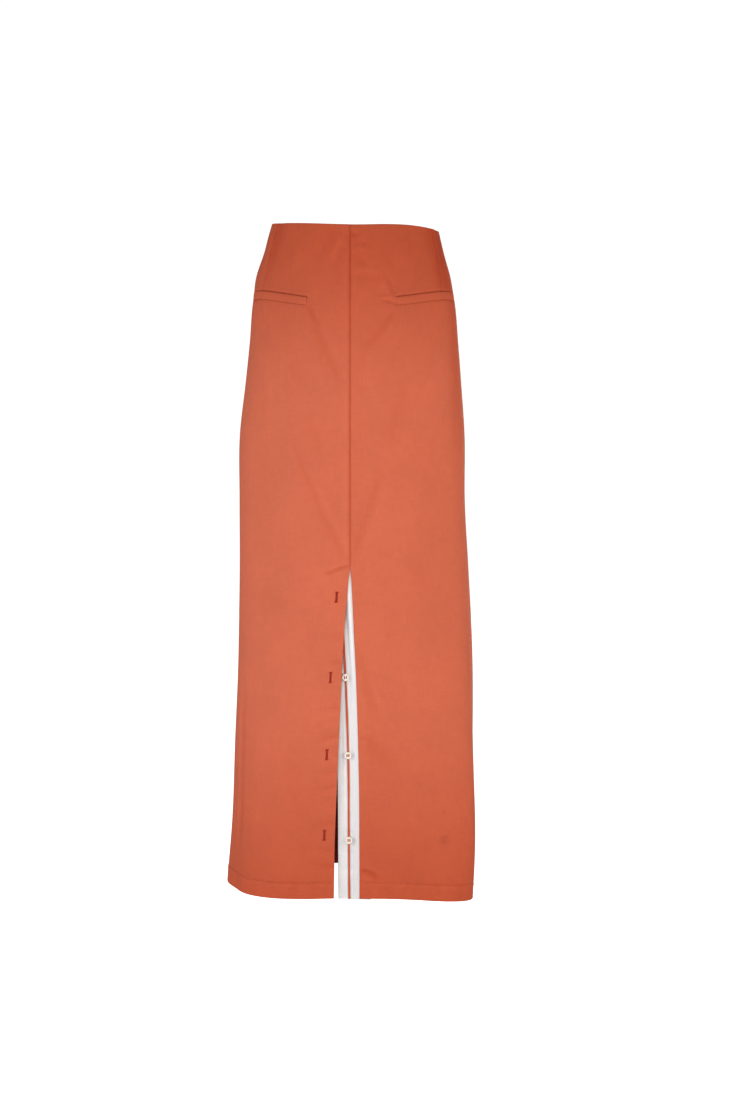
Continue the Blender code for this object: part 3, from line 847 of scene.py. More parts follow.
def add_tubes(parts, points, places):
    """Closed tubes from an array of (tube, ring, corner): faces round each, and a face on each end."""
    tubes, rings, corners = points.shape[:3]
    index = np.arange(rings * corners).reshape(rings, corners)
    faces = quads(np.concatenate([index, index[:, :1]], axis=1))
    offset = np.arange(tubes)[:, None] * rings * corners
    ends = np.concatenate([offset + index[0], offset + index[-1, ::-1]]) + parts.count
    parts.add(points, (faces[None] + offset[..., None]).reshape(-1, 4), places)
    parts.faces += [tuple(face) for face in ends.tolist()]


def tube_piece(name, points, places, material, sharp=None):
    """One piece made of closed tubes."""
    parts = Parts()
    add_tubes(parts, points, places)
    return parts.make(name, material, sharp)


def capsules(paths, side_way, radius, corners=6):
    """Round strands along paths of shape (strand, point, 3). The ring at each point stands square to
    the path, and the strand narrows to a rounded end as a half circle does."""
    tangent = np.gradient(paths, axis=1)
    tangent /= np.linalg.norm(tangent, axis=-1, keepdims=True)
    side = side_way - tangent * (side_way * tangent).sum(-1, keepdims=True)
    side /= np.linalg.norm(side, axis=-1, keepdims=True)
    up = np.cross(tangent, side)
    along = running_length(np.linalg.norm(np.diff(paths, axis=1), axis=-1))
    size = radius * rounded(np.minimum(along, along[:, -1:] - along), radius, 0.2)
    turn = full_turn(corners)
    spokes = np.cos(turn)[:, None] * side[..., None, :] + np.sin(turn)[:, None] * up[..., None, :]
    points = paths[..., None, :] + spokes * size[..., None, None]
    around = np.broadcast_to(turn * radius, size.shape + (corners,))
    lengthways = np.broadcast_to(along[..., None], size.shape + (corners,))
    return points, np.stack([lengthways, around], axis=-1)


# ---- rows
def spaced(spans):
    """Drops evenly spaced within each span, and the last span's end."""
    drops = [np.linspace(low, high, round((high - low) / step) + 1)[:-1] for low, high, step in spans]
    return np.concatenate(drops + [[spans[-1][1]]])


def face_rows(spans):
    """Drops of the rows down the face, between its folds at the waist and the hem."""
    first, last = HALF + FOLD_RADIUS, LENGTH - HALF - FOLD_RADIUS
    drops = spaced(spans)
    within = (drops > first + CLEAR_OF_FOLD) & (drops < last - CLEAR_OF_FOLD)
    return np.concatenate([[first], drops[within], [last]])


def raw_edge(distance):
    """Share of the thickness near a raw edge."""
    return rounded(distance, HALF, RIM_LEAST)


def panel_rows(spans):
    """Drop, level and share of thickness of each row: up the turning inside the waist, over the top,
    down the face, round the hem and up its turning."""
    rim = np.array(RIM)
    bend = np.radians(np.linspace(180.0, 0.0, BEND_STEPS + 1))[1:-1]
    over_drop = HALF + FOLD_RADIUS * (1 - np.sin(bend))
    over_level = MID_LEVEL + FOLD_RADIUS * np.cos(bend)
    face = face_rows(spans)
    hem_edge = LENGTH - HEM_TURNING
    waist = np.linspace(WAIST_TURNING - RIM_START, face[0], WAIST_TURNING_ROWS)
    waist = np.concatenate([WAIST_TURNING - rim, waist])
    hem = np.linspace(face[-1], hem_edge + RIM_START, HEM_TURNING_ROWS)
    hem = np.concatenate([hem, hem_edge + rim[::-1]])
    drop = np.concatenate([waist, over_drop, face, LENGTH - over_drop[::-1], hem])
    level = np.full(len(drop), TURNED_LEVEL)
    start = len(waist) + len(over_level)
    level[len(waist) : start] = over_level
    level[start : start + len(face)] = FACE_LEVEL
    level[start + len(face) : len(drop) - len(hem)] = over_level[::-1]
    share = np.ones(len(drop))
    share[: len(rim)] = raw_edge(rim)
    share[-len(rim) :] = raw_edge(rim[::-1])
    return drop[:, None], level[:, None], share[:, None]


# ---- columns
def panel_columns(near, dart, far):
    """Distances from the centre line of each column, from the near edge to the side seam, with a
    quarter-round roll at both edges and close columns along the dart. The roll is 0 at the edges and
    1 on the face."""
    roll = np.radians(np.linspace(0.0, 90.0, ROLL_STEPS + 1))
    inset = FOLD_RADIUS * (1 - np.cos(roll))[None, :]
    cluster = np.array(DART_CLUSTER)[None, :]
    inner = np.linspace(0.0, 1.0, INNER_COLUMNS + 1)[None, 1:-1]
    outer = np.linspace(0.0, 1.0, OUTER_COLUMNS + 1)[None, 1:-1]
    start, end = near + FOLD_RADIUS, far - FOLD_RADIUS
    columns = np.concatenate(
        [
            near + inset,
            start + (dart + cluster[:, :1] - start) * inner,
            dart + cluster,
            dart + cluster[:, -1:] + (end - dart - cluster[:, -1:]) * outer,
            (far - inset)[:, ::-1],
        ],
        axis=1,
    )
    face = np.ones(columns.shape[1])
    face[: ROLL_STEPS + 1] = np.sin(roll)
    face[-ROLL_STEPS - 1 :] = np.sin(roll)[::-1]
    return columns, face[None, :]


def turning_columns(width):
    """Distances from a folded edge across the turning behind it, the depth behind the fold's middle
    as a share of the full depth, and the share of thickness: a quarter round, then flat to the raw
    edge."""
    roll = np.radians(np.linspace(0.0, 90.0, ROLL_STEPS + 1))
    bend = TURNING_DEPTH * (1 - np.cos(roll))
    flat = np.linspace(0.0, 1.0, TURNING_COLUMNS)[None, 1:-1] * (width - RIM_START) + TURNING_DEPTH
    rim = np.array(RIM)[::-1]
    inset = np.concatenate([np.broadcast_to(bend, (len(width), len(bend))), flat, width - rim], axis=1)
    depth = np.ones(inset.shape[1])
    depth[: len(roll)] = np.sin(roll)
    share = np.ones(inset.shape[1])
    share[-len(rim) :] = raw_edge(rim)
    return inset, depth[None, :], share[None, :]


def add_panel(parts, measure, side, near, dart, far, spans, relief, lines):
    """A panel's main layer: its rows and columns at their levels, moved by the relief."""
    drop, level, share = panel_rows(spans)
    size, face = panel_columns(near(drop), dart(drop), far(drop))
    if side < 0:
        size, face = size[:, ::-1], face[:, ::-1]
    across = side * size
    drop = np.broadcast_to(drop, across.shape)
    angle = measure.angle(across, drop)
    height = relief(across, drop)
    points = moved_out(angle, drop, MID_LEVEL + (level - MID_LEVEL) * face + height)
    run = np.where(level > MID_LEVEL, drop, 2 * np.where(drop < LENGTH / 2, 0.0, LENGTH) - drop)
    # the crease attribute: creases and the seams' drawn lines, from which the material paints shade in
    # troughs and light on ridges
    crease = height - waves(angle, drop) + lines(across, drop)
    places = np.stack([across, run], axis=-1)
    # turned-in rows take the inside's painted shade on both sides
    turned_in = np.broadcast_to(level < MID_LEVEL, across.shape)
    add_layer(parts, points, HALF * share, places, crease, measure.turn < 0, turned_in)


def add_turning(parts, measure, side, edge, inwards, width, relief, spans):
    """A turning behind a folded edge or an opened seam. It lies between the layers under the waist's
    and the hem's turnings, and a little deeper between them. Its direction is +1 where it runs
    towards the side seam and -1 where it runs back to the centre line."""
    drop = spaced(spans)[:, None]
    inset, depth, share = turning_columns(width(drop))
    size = edge(drop) + inwards * inset
    hem_edge = LENGTH - HEM_TURNING
    clear = plateau(drop, WAIST_TURNING, WAIST_TURNING + TURNING_CLEAR, hem_edge - TURNING_CLEAR, hem_edge)
    out = MID_LEVEL - TURNING_DEPTH * depth * (UNDER_TURNING + (1 - UNDER_TURNING) * clear)
    across = side * size
    if side * inwards > 0:
        across, out, share = across[:, ::-1], out[:, ::-1], share[:, ::-1]
    drop = np.broadcast_to(drop, across.shape)
    points = moved_out(measure.angle(across, drop), drop, out + relief(across, drop))
    places = np.stack([2 * side * edge(drop) - across, drop], axis=-1)
    add_layer(parts, points, HALF * share, places, 0.0, measure.turn < 0)


# ---- panels
def make_front(side, name, material):
    """One front: its face with all its turnings, as one cut piece."""
    column = "front_left" if side < 0 else "front_right"
    slit_turning = SLIT_TURNING_LEFT if side < 0 else SLIT_TURNING_RIGHT

    def near(drop):
        closed = (SEAM_GAP - SEWN_GAP) / 2 * smooth_fall(drop, SLIT_TOP - SEAM_OPENS, SLIT_TOP)
        return edge_arc(side, drop) - closed + HALF

    def far(drop):
        return np.abs(FRONT.across(side * 90.0, drop)) - SEWN_GAP / 2 - HALF

    def dart(drop):
        return smooth_read(drop, DART["drop"], DART[column])

    def slit_width(drop):
        return SEAM_TURNING + (slit_turning - SEAM_TURNING) * smooth_step(drop, *SLIT_TURNING_DROPS)

    def seam_width(drop):
        return 0 * drop + SEAM_TURNING

    parts = Parts()
    add_panel(parts, FRONT, side, near, dart, far, FRONT_SPANS, front_relief, front_lines)
    add_turning(parts, FRONT, side, near, 1, slit_width, front_relief, SLIT_TURNING_SPANS)
    add_turning(parts, FRONT, side, far, -1, seam_width, front_relief, SIDE_TURNING_SPANS)
    return parts.make(name, material, CLOTH_SHARP)


def make_back(side, name, material):
    """One half of the back, from its side seam to the centre-back seam, with its turnings."""

    def near(drop):
        return 0 * drop + SEWN_GAP / 2 + HALF

    def far(drop):
        return np.abs(BACK.across(side * 90.0, drop)) - SEWN_GAP / 2 - HALF

    def dart(drop):
        return smooth_read(drop, DART["drop"], DART["back"])

    def width(drop):
        return 0 * drop + SEAM_TURNING

    parts = Parts()
    add_panel(parts, BACK, side, near, dart, far, BACK_SPANS, back_relief, back_lines)
    add_turning(parts, BACK, side, near, 1, width, back_relief, BACK_TURNING_SPANS)
    add_turning(parts, BACK, side, far, -1, width, back_relief, BACK_TURNING_SPANS)
    return parts.make(name, material, CLOTH_SHARP)


# ---- slit underlap
def underlap_face(from_edge, drop):
    """Angle and level of the underlap's outer face: flat behind the right front where it is sewn,
    then falling back over a short step, and hanging clear behind the left front. At the slit's top it
    stays close for longer."""
    angle = FRONT.angle(edge_arc(1, drop) - from_edge, drop)
    sewn = -(CLOTH / 2 + SEAM_GAP)
    hanging = -(CLOTH / 2 + UNDERLAP_BEHIND)
    late = UNDERLAP_LATE * smooth_fall(drop, *UNDERLAP_LATE_DROPS)
    fall = smooth_step(from_edge - late, 0.0, UNDERLAP_STEP)
    return angle, sewn + (hanging - sewn) * fall, fall


# small folds of the underlap, across it measured from the right front's edge
UNDERLAP_CREASES = (
    # the two rows of stitches that hold the tape draw it in, and the cloth stands up beside them
    (TAPE_MIDDLE - 3.6, 470, TAPE_MIDDLE - 3.6, 930, 1, 0.32, 0, 0.01, 0.01),
    (TAPE_MIDDLE + 3.6, 470, TAPE_MIDDLE + 3.6, 930, 1, 0.3, 0, 0.01, 0.01),
    (8.2, 560, 8.8, 930, 1.1, -0.22, 0.4, 0.1, 0.02),
    (21.5, 640, 21, 930, 1.2, -0.3, 0.6, 0.2, 0.02),
    (10, 596, 24, 606, 3.5, -0.35, 1, 0.3, 0.3),
    (2, 668, 12, 672, 3, -0.3, 0.5, 0.2, 0.3),
    (16, 700, 28, 706, 3.2, -0.35, 0.5, 0.25, 0.25),
    (2, 759, 12, 757, 3, -0.28, 0.5, 0.2, 0.3),
    (16, 790, 29, 784, 3.4, 0.35, 0.5, 0.25, 0.25),
    (4, 833, 28, 829, 2.6, -0.38, 0.8, 0.2, 0.2),
    (4, 860, 29, 858, 2.2, -0.42, 0.8, 0.15, 0.15),
    (3, 881, 29, 884, 2.4, -0.4, 0.8, 0.15, 0.15),
    (3, 888, 29, 890, 3.2, 0.3, 0.8, 0.15, 0.15),
)
UNDERLAP_ROWS = 300
UNDERLAP_COLUMNS = 44
UNDERLAP_RIM = (0.0, 0.06, 0.18, 0.36)
UNDERLAP_RIPPLE = 0.14
UNDERLAP_RIPPLE_REACH = (8.0, 26.0)
# painted light on the underlap's step at the slit's top: its strength, and the drops over which it fades
UNDERLAP_SHINING = 10.0
UNDERLAP_SHINING_DROPS = (570.0, 650.0)


def underlap_relief(from_edge, drop, fall):
    """The front's drape where the underlap is sewn to it, and its own small folds where it hangs. The
    second result is the part of its own folds, from which the material paints shade in troughs and
    light on ridges, with the step at the slit's top painted paler, as if it stood out: painted light
    for the light that shines there through the thin cotton, which isn't made."""
    sewn = drape(FRONT, edge_arc(1, drop) - from_edge, drop)
    own = creases(UNDERLAP_CREASES, from_edge, drop)
    ripple = np.sin(drop / 9.0 + 0.5) * np.sin(drop / 31.0)
    own = own + UNDERLAP_RIPPLE * ripple * smooth_step(from_edge, *UNDERLAP_RIPPLE_REACH)
    shining = UNDERLAP_SHINING * fall * (1 - fall) * smooth_fall(drop, *UNDERLAP_SHINING_DROPS)
    return sewn * (1 - fall) + own * fall, own * fall + shining


def make_underlap(name, material):
    """A folded strip of white cotton: a wall whose long edges are rounded, as folds are."""
    half = UNDERLAP_WALL / 2
    rim = np.array(UNDERLAP_RIM + (half,))
    inner = np.linspace(0.0, 1.0, UNDERLAP_COLUMNS)[1:-1]
    low, high = -UNDERLAP_SEWN, UNDERLAP_REACH
    from_edge = np.concatenate([high - rim, high - half + (low - high + 2 * half) * inner, low + rim[::-1]])
    top, foot = UNDERLAP_TOP, LENGTH + UNDERLAP_BELOW
    body = np.linspace(top + half, foot - half, UNDERLAP_ROWS)[1:-1]
    drop = np.concatenate([top + rim, body, foot - rim[::-1]])
    across_share = rounded(np.minimum(high - from_edge, from_edge - low), half, 0.2)
    down_share = rounded(np.minimum(drop - top, foot - drop), half, 0.2)
    share = np.minimum(across_share[None, :], down_share[:, None])
    from_edge, drop = np.broadcast_arrays(from_edge[None, :], drop[:, None])
    angle, level, fall = underlap_face(from_edge, drop)
    height, crease = underlap_relief(from_edge, drop, fall)
    points = moved_out(angle, drop, level - half + height)
    parts = Parts()
    add_layer(parts, points, half * share, np.stack([-from_edge, drop], axis=-1), crease)
    return parts.make(name, material, CLOTH_SHARP)


TAPE_RINGS = 380
TAPE_CORNERS = 20
TAPE_END = 0.5  # its ends close over this distance


def make_tape(name, material):
    """The woven tape: a flattened round section carried down the underlap, a little uneven in width,
    with a shallow furrow down its middle."""
    foot = LENGTH + UNDERLAP_BELOW
    drop = np.linspace(TAPE_TOP, foot, TAPE_RINGS)[:, None]
    turn = full_turn(TAPE_CORNERS)[None, :]
    closing = np.sqrt(np.clip(np.minimum(drop - TAPE_TOP, foot - drop) / TAPE_END, 0.02, 1.0))
    wide = TAPE_WIDTH / 2 + 0.10 * np.sin(drop / 13.0) + 0.07 * np.sin(drop / 5.3)
    aside = wide * squared_off(np.cos(turn), 0.55)
    raised = 0.5 * TAPE_WALL * squared_off(np.sin(turn), 0.8) * closing
    raised = raised - 0.12 * bell(aside, 1.1) * (np.sin(turn) > 0)
    from_edge = TAPE_MIDDLE + 0.25 * np.sin(drop / 41.0) + aside
    drop = np.broadcast_to(drop, from_edge.shape)
    angle, level, _ = underlap_face(from_edge, drop)
    points = moved_out(angle, drop, level + SEAM_GAP + TAPE_WALL / 2 + raised)
    places = np.stack([aside, drop], axis=-1)
    return tube_piece(name, points[None], places[None], material, HARD_SHARP)


# ---- welts
WELT_THICKNESS = 1.15
WELT_LIFT = 0.72  # its back stands this far out from the middle of the cloth's wall
WELT_END = 4.0  # its ends close over this distance
WELT_RINGS = 110
WELT_CORNERS = 40


def make_welt(side, name, material):
    """A pocket welt: a folded strip with a full round upper edge, tucked into its seam below and at
    its ends. Its section is a long rounded oval, |height|^6 + |level|^2.4 = 1, that closes at the
    ends."""
    low, high = WELT["arc"][0], WELT["arc"][-1]
    arc = low + (high - low) * (0.5 - 0.5 * np.cos(np.linspace(0.0, math.pi, WELT_RINGS)))[:, None]
    closing = rounded(np.minimum(arc - low, high - arc), WELT_END, 0.02**0.5)
    turn = full_turn(WELT_CORNERS)[None, :]
    raised = squared_off(np.sin(turn), 1 / 1.2)
    below = WELT_HEIGHT / 2 * (1 - squared_off(np.cos(turn), 1 / 3) * (1 - 0.04 * (1 - closing)))
    across = side * arc + WELT_ASIDE
    across, drop = np.broadcast_arrays(across, welt_line(across) + below)
    bulge = 0.22 * bell(below - 3.6, 3.4) + 0.07 * np.sin(arc / 6.1) * np.sin(arc / 17.0)
    level = WELT_LIFT + (WELT_THICKNESS / 2 * (1 + raised) + bulge * (raised > 0)) * closing
    points = moved_out(FRONT.angle(across, drop), drop, level + drape(FRONT, across, drop))
    places = np.stack([across, drop], axis=-1)
    if side < 0:
        points, places = points[::-1], places[::-1]
    return tube_piece(name, points[None], places[None], material, CLOTH_SHARP)


# ---- buttons
BUTTON_PROFILE_COLUMNS = ("radius", "height")
BUTTON_PROFILE = (
    (0, 0),
    (3.2, 0),
    (4, 0.05),
    (4.6, 0.28),
    (4.92, 0.7),
    (5, 1.1),
    (4.9, 1.55),
    (4.6, 1.88),
    (4.25, 2),
    (3.9, 1.95),
    (3.55, 1.72),
    (3.1, 1.55),
    (2, 1.48),
    (0, 1.45),
)
BUTTON_DISH_START = 7  # the row of the profile, counted from 0, after which the holes are sunk
BUTTON_HOLE_DEPTH = 1.28
BUTTON_HOLE_SLOPE = (BUTTON_HOLE / 2 - 0.1, BUTTON_HOLE / 2 + 0.14)
BUTTON_RINGS = 130
BUTTON_CORNERS = 112
STRANDS_IN_ROW = 3
STRAND_PITCH = 0.36
STRAND_RADIUS = 0.27  # of the thread that holds a button


def button_frame(button_drop):
    """Where a button sits on the tape, and its three directions: aside, up and out."""
    drop = np.array([button_drop])
    angle, level, _ = underlap_face(np.array([TAPE_MIDDLE]), drop)
    out = outward(angle, drop)[0]
    seat = moved_out(angle, drop, level + 2 * SEAM_GAP + TAPE_WALL)[0]
    turn = Vector(out).to_track_quat("Z", "Y").to_matrix()
    return seat, np.array(turn)


def make_button(number, button_drop, material):
    """A turned four-hole button: its profile spun round its axis, and sunk steeply at the holes."""
    shape = table(BUTTON_PROFILE, BUTTON_PROFILE_COLUMNS)
    along = running_length(np.hypot(np.diff(shape["radius"]), np.diff(shape["height"])))
    fine = np.linspace(0.0, along[-1], BUTTON_RINGS)
    radius = smooth_read(fine, along, shape["radius"]).clip(0.01)[:, None]
    height = smooth_read(fine, along, shape["height"])[:, None]
    turn = full_turn(BUTTON_CORNERS)[None, :]
    x, y = radius * np.cos(turn), radius * np.sin(turn)
    to_hole = np.hypot(np.abs(x) - BUTTON_HOLE_SPACING / 2, np.abs(y) - BUTTON_HOLE_SPACING / 2)
    on_face = fine[:, None] > along[BUTTON_DISH_START]
    height = height - on_face * BUTTON_HOLE_DEPTH * smooth_fall(to_hole, *BUTTON_HOLE_SLOPE)
    seat, axes = button_frame(button_drop)
    points = seat + np.stack([x, y, height], axis=-1) @ axes.T
    places = np.stack([x, y], axis=-1)
    name = f"button_{number}_turned"
    piece = tube_piece(name, points[None, ::-1], places[None, ::-1], material, HARD_SHARP)
    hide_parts(f"button_{number}")
    return piece


def make_button_thread(number, button_drop, material):
    """The thread that holds a button: three strands in each of two upright rows, from the upper hole
    to the lower one, each strand a low arch."""
    seat, axes = button_frame(button_drop)
    share = np.linspace(-1.0, 1.0, 17)[None, :]
    strand = np.arange(2 * STRANDS_IN_ROW)[:, None]
    row, place = strand // STRANDS_IN_ROW * 2 - 1, strand % STRANDS_IN_ROW - 1
    reach = BUTTON_HOLE_SPACING / 2
    uneven = 0.04 * np.sin(3 * share + 2 * strand)
    x = row * reach + place * STRAND_PITCH * (1 - 0.35 * share**2) + uneven
    y = (reach + 0.1) * np.sin(share * math.pi / 2) + 0.0 * x
    z = 1.80 + 0.12 * (place == 0) - 1.35 * np.abs(share) ** 7
    paths = seat + np.stack([x, y, z], axis=-1) @ axes.T
    points, places = capsules(paths, axes[:, 0], STRAND_RADIUS, 8)
    return tube_piece(f"button_{number}_thread", points, places, material)


# ---- buttonholes and hem
def on_face(measure, across, drop, height):
    """Points this high above a front's or a back's face, and the way out from the cloth there."""
    angle = measure.angle(across, drop)
    relief = front_relief if measure is FRONT else back_relief
    level = FACE_LEVEL + HALF + height + relief(across, drop)
    return moved_out(angle, drop, level), outward(angle, drop)


def stitches(measure, middle, drop, length, slant, rise, sunk, radius):
    """Short strands on a face, each lying across it and falling by its slant, arched by its rise and
    with both ends sunk in the cloth."""
    share = np.linspace(-1.0, 1.0, 9)[None, :]
    half = share * length[:, None] / 2
    down = drop[:, None] + np.reshape(slant, (-1, 1)) * half
    height = rise * (1 - share**4) - sunk * share**4
    paths, out = on_face(measure, middle[:, None] + half, down, height)
    return capsules(paths, out, radius)


def make_buttonhole(number, drop, from_edge, material):
    """A worked buttonhole: two close rows of satin stitches either side of the cut, a cord under
    them, and a wider bar tack at each end. It leans with the slit's edge."""
    parts = Parts()
    satin = (SATIN_SUNK, SATIN_RADIUS)
    count = round((BUTTONHOLE_LENGTH - 2.0) / SATIN_PITCH)
    step = np.arange(count) - (count - 1) / 2
    row = drop + step * SATIN_PITCH
    uneven = 0.06 * np.sin(step * 2.4) + 0.05 * np.sin(step * 5.1)
    wide = (BUTTONHOLE_WIDTH - BUTTONHOLE_CUT) / 2
    line = -(edge_arc(-1, row) + from_edge)
    for side in (-1, 1):
        middle = line + side * (BUTTONHOLE_CUT + wide) / 2
        strands = stitches(FRONT, middle, row + 0.1 * side, wide + uneven, 0.1 * uneven, 0.2, *satin)
        add_tubes(parts, *strands)
    strand = np.arange(BAR_TACK_STRANDS)
    widths = BAR_TACK_WIDTH + 0.12 * np.sin(strand * 2.2)
    for end in (-1, 1):
        tack = drop + end * (BUTTONHOLE_LENGTH / 2 - 0.15 - strand * BAR_TACK_PITCH)
        middle = -(edge_arc(-1, tack) + from_edge)
        add_tubes(parts, *stitches(FRONT, middle, tack, widths, 0.02, 0.42, *satin))
    down = drop + np.linspace(-1.0, 1.0, 30)[None, :] * (BUTTONHOLE_LENGTH / 2 - 0.6)
    path, out = on_face(FRONT, -(edge_arc(-1, down) + from_edge), down, -0.05)
    add_tubes(parts, *capsules(path, out, CORD_RADIUS))
    return parts.make(f"buttonhole_{number}", material)


def make_hem_stitches(name, measure, side, near, material):
    """Small blind stitches a turning's depth above the hem, slanting a little, each halfway between
    two of the places where the hem's line is drawn in."""
    far = abs(float(measure.across(side * 90.0, HEM_STITCH_DROP)))
    first, last = math.ceil((near + 3) / HEM_STITCH_PITCH), math.floor((far - 4) / HEM_STITCH_PITCH)
    number = np.arange(first, last + 1)
    middle = side * (number + 0.5) * HEM_STITCH_PITCH + 0.5 * np.sin(number * 1.9)
    drop = HEM_STITCH_DROP + 0.35 * np.sin(number * 2.7)
    length = HEM_STITCH_LENGTH + 0.5 * np.sin(number * 4.1)
    shape = (HEM_STITCH_SLANT, HEM_STITCH_RISE, HEM_STITCH_SUNK, HEM_STITCH_RADIUS)
    return tube_piece(name, *stitches(measure, middle, drop, length, *shape), material)


# ---- materials
WEAVE_DEPTH = 0.00011  # metres, as in all the materials
PLY_DEPTH = 0.00005
PLY_WIDTH = 0.00048  # round the strand
PLY_TURN = 5200.0  # radians that the plies turn in a metre along the strand


class Value:
    """One output of a material's nodes. Arithmetic on it adds Math nodes."""

    def __init__(self, finish, socket):
        self.finish = finish
        self.socket = socket

    def math(self, operation, *values):
        return self.finish.node("ShaderNodeMath", {"operation": operation}, dict(enumerate(values)))

    def __add__(self, other):
        return self.math("ADD", self, other)

    def __sub__(self, other):
        return self.math("SUBTRACT", self, other)

    def __mul__(self, other):
        return self.math("MULTIPLY", self, other)

    def __rsub__(self, other):
        return self.math("SUBTRACT", other, self)

    __radd__ = __add__
    __rmul__ = __mul__

    def sine(self):
        return self.math("SINE", self)

    def rise(self, low, high):
        """0 below low, 1 above high, smooth between."""
        settings = {"interpolation_type": "SMOOTHSTEP"}
        return self.finish.node("ShaderNodeMapRange", settings, {"Value": self, 1: low, 2: high})

    def ramp(self, start, end, at_start, at_end):
        """One value at the start, another at the end, straight between and level beyond them."""
        values = {"Value": self, 1: start, 2: end, 3: at_start, 4: at_end}
        return self.finish.node("ShaderNodeMapRange", {}, values)


class Finish:
    """The nodes of a material, or of the world, ending in one shader."""

    def __init__(self, owner, shader="Principled BSDF"):
        owner.use_nodes = True
        self.owner = owner
        self.tree = owner.node_tree
        self.shader = self.tree.nodes[shader]

    def node(self, kind, settings, values, output=0):
        """A node of this type, with its settings first and then its sockets' values or links."""
        node = self.tree.nodes.new(kind)
        for name, setting in settings.items():
            setattr(node, name, setting)
        for key, value in values.items():
            self.put(node.inputs[key], value)
        return Value(self, node.outputs[output])

    def put(self, socket, value):
        if isinstance(value, Value):
            self.tree.links.new(value.socket, socket)
        else:
            socket.default_value = value

    def set(self, **values):
        for name, value in values.items():
            self.put(self.shader.inputs[name.replace("_", " ")], value)

    def place(self):
        """The cloth coordinates, in metres across and down."""
        return self.node("ShaderNodeUVMap", {"uv_map": "cloth"}, {})

    def attribute(self, name):
        return self.node("ShaderNodeAttribute", {"attribute_name": name}, {}, 2)

    def part(self, vector, axis):
        return self.node("ShaderNodeSeparateXYZ", {}, {0: vector}, axis)

    def scaled(self, vector, x, y, z=1.0):
        return self.node("ShaderNodeVectorMath", {"operation": "MULTIPLY"}, {0: vector, 1: (x, y, z)})

    def noise(self, vector, scale, detail=2.0, roughness=0.5):
        """Soft noise between about 0 and 1."""
        values = {"Vector": vector, "Scale": scale, "Detail": detail, "Roughness": roughness}
        return self.node("ShaderNodeTexNoise", {}, values)

    def mix(self, share, first, second):
        """The first colour where the share is 0, the second where it is 1."""
        settings = {"data_type": "RGBA", "clamp_factor": True}
        return self.node("ShaderNodeMix", settings, {0: share, 6: first, 7: second}, 2)

    def scale(self, color, factor):
        """A colour made lighter or darker by a factor that varies over the surface."""
        return self.node("ShaderNodeVectorMath", {"operation": "SCALE"}, {0: color, "Scale": factor})

    def bump(self, height, depth, strength=1.0):
        """A normal from a height that is given in shares of the depth, in metres."""
        return self.node("ShaderNodeBump", {}, {"Strength": strength, "Distance": depth, "Height": height})


def new_finish(name):
    """The nodes of a new material."""
    return Finish(bpy.data.materials.new(name))


def shade(color, factor):
    """A colour made lighter or darker."""
    return tuple(min(part * factor, 1.0) for part in color[:3]) + (1.0,)


def woven(finish, place, thread):
    """Height of a plain weave: warp and weft cross over and under, as the product of two sines."""
    warp = (finish.part(place, 0) * (math.pi / thread)).sine()
    weft = (finish.part(place, 1) * (math.pi / thread)).sine()
    return warp * weft


def cotton(name, color, deeper, inside, hollow, uneven, thread, spots=()):
    """Woven cotton: warp and weft threads, slubs along both, a soft cloudiness in the dye, a dry
    surface with a little sheen, and faint darker round spots at the places given. Its colour is painted
    a little darker and deeper towards the waist and the hem, as painted shade, and its wrong side has the
    dark colour given for the inside, also painted shade. A crease two millimetres high is painted a
    little lighter, as painted light, and down in one six millimetres deep the colour is multiplied by the
    one given for a hollow, as painted shade."""
    finish = new_finish(name)
    place = finish.place()
    weave = woven(finish, place, thread)
    across_slub = finish.noise(finish.scaled(place, 55.0, 1700.0), 1.0)
    down_slub = finish.noise(finish.scaled(place, 1700.0, 40.0), 1.0)
    cloud = finish.noise(place, 14.0, 4.0, 0.55)
    fine_cloud = finish.noise(place, 90.0, 3.0, 0.6)
    streaks = (across_slub + down_slub) * 0.5
    share = 0.5 + (streaks - 0.5) * 1.1 + (cloud - 0.5) * 0.55 + (fine_cloud - 0.5) * 0.35 + weave * 0.06
    for across, drop, width, strength in spots:
        x = (finish.part(place, 0) - across * MM) * (1 / (width * MM))
        y = (finish.part(place, 1) - drop * MM) * (1 / (width * MM))
        share = share - (1 - (x * x + y * y).rise(0.15, 1.0)) * strength
    down = finish.part(place, 1)
    # painted shade: the colour goes darker and deeper towards the waist and the hem
    waist_hem_shade = 1 - down.rise(0.0, 0.25) + down.rise(0.62, 1.0) * SHADE_AT_HEM
    crease = finish.attribute("crease")
    # painted light on ridges and painted shade down in creases, from the crease attribute
    ridge_light = crease.ramp(0.0, 2.0, 1.0, 1.12)
    sunk = crease.ramp(0.0, -6.0, 0.0, 1.0)
    dye_with_shade = finish.mix(waist_hem_shade, color, deeper)
    base = finish.scale(dye_with_shade, (1 - uneven / 2 + share * uneven) * ridge_light)
    base = finish.mix(sunk, base, finish.scaled(base, *hollow))
    # painted shade: the wrong side and the turned-in parts take the dark inside colour
    base = finish.mix(finish.attribute("inside_shade").rise(0.2, 0.8), base, inside)
    height = weave * 0.5 + streaks * 0.9 + fine_cloud * 0.5
    finish.set(Base_Color=base, Roughness=0.82 + (cloud - 0.5) * 0.12)
    finish.set(Normal=finish.bump(height, WEAVE_DEPTH, 0.55))
    finish.set(Sheen_Weight=0.04, Sheen_Roughness=0.45, Specular_IOR_Level=0.22)
    finish.set(Sheen_Tint=shade(color, 1.35))
    return finish.owner


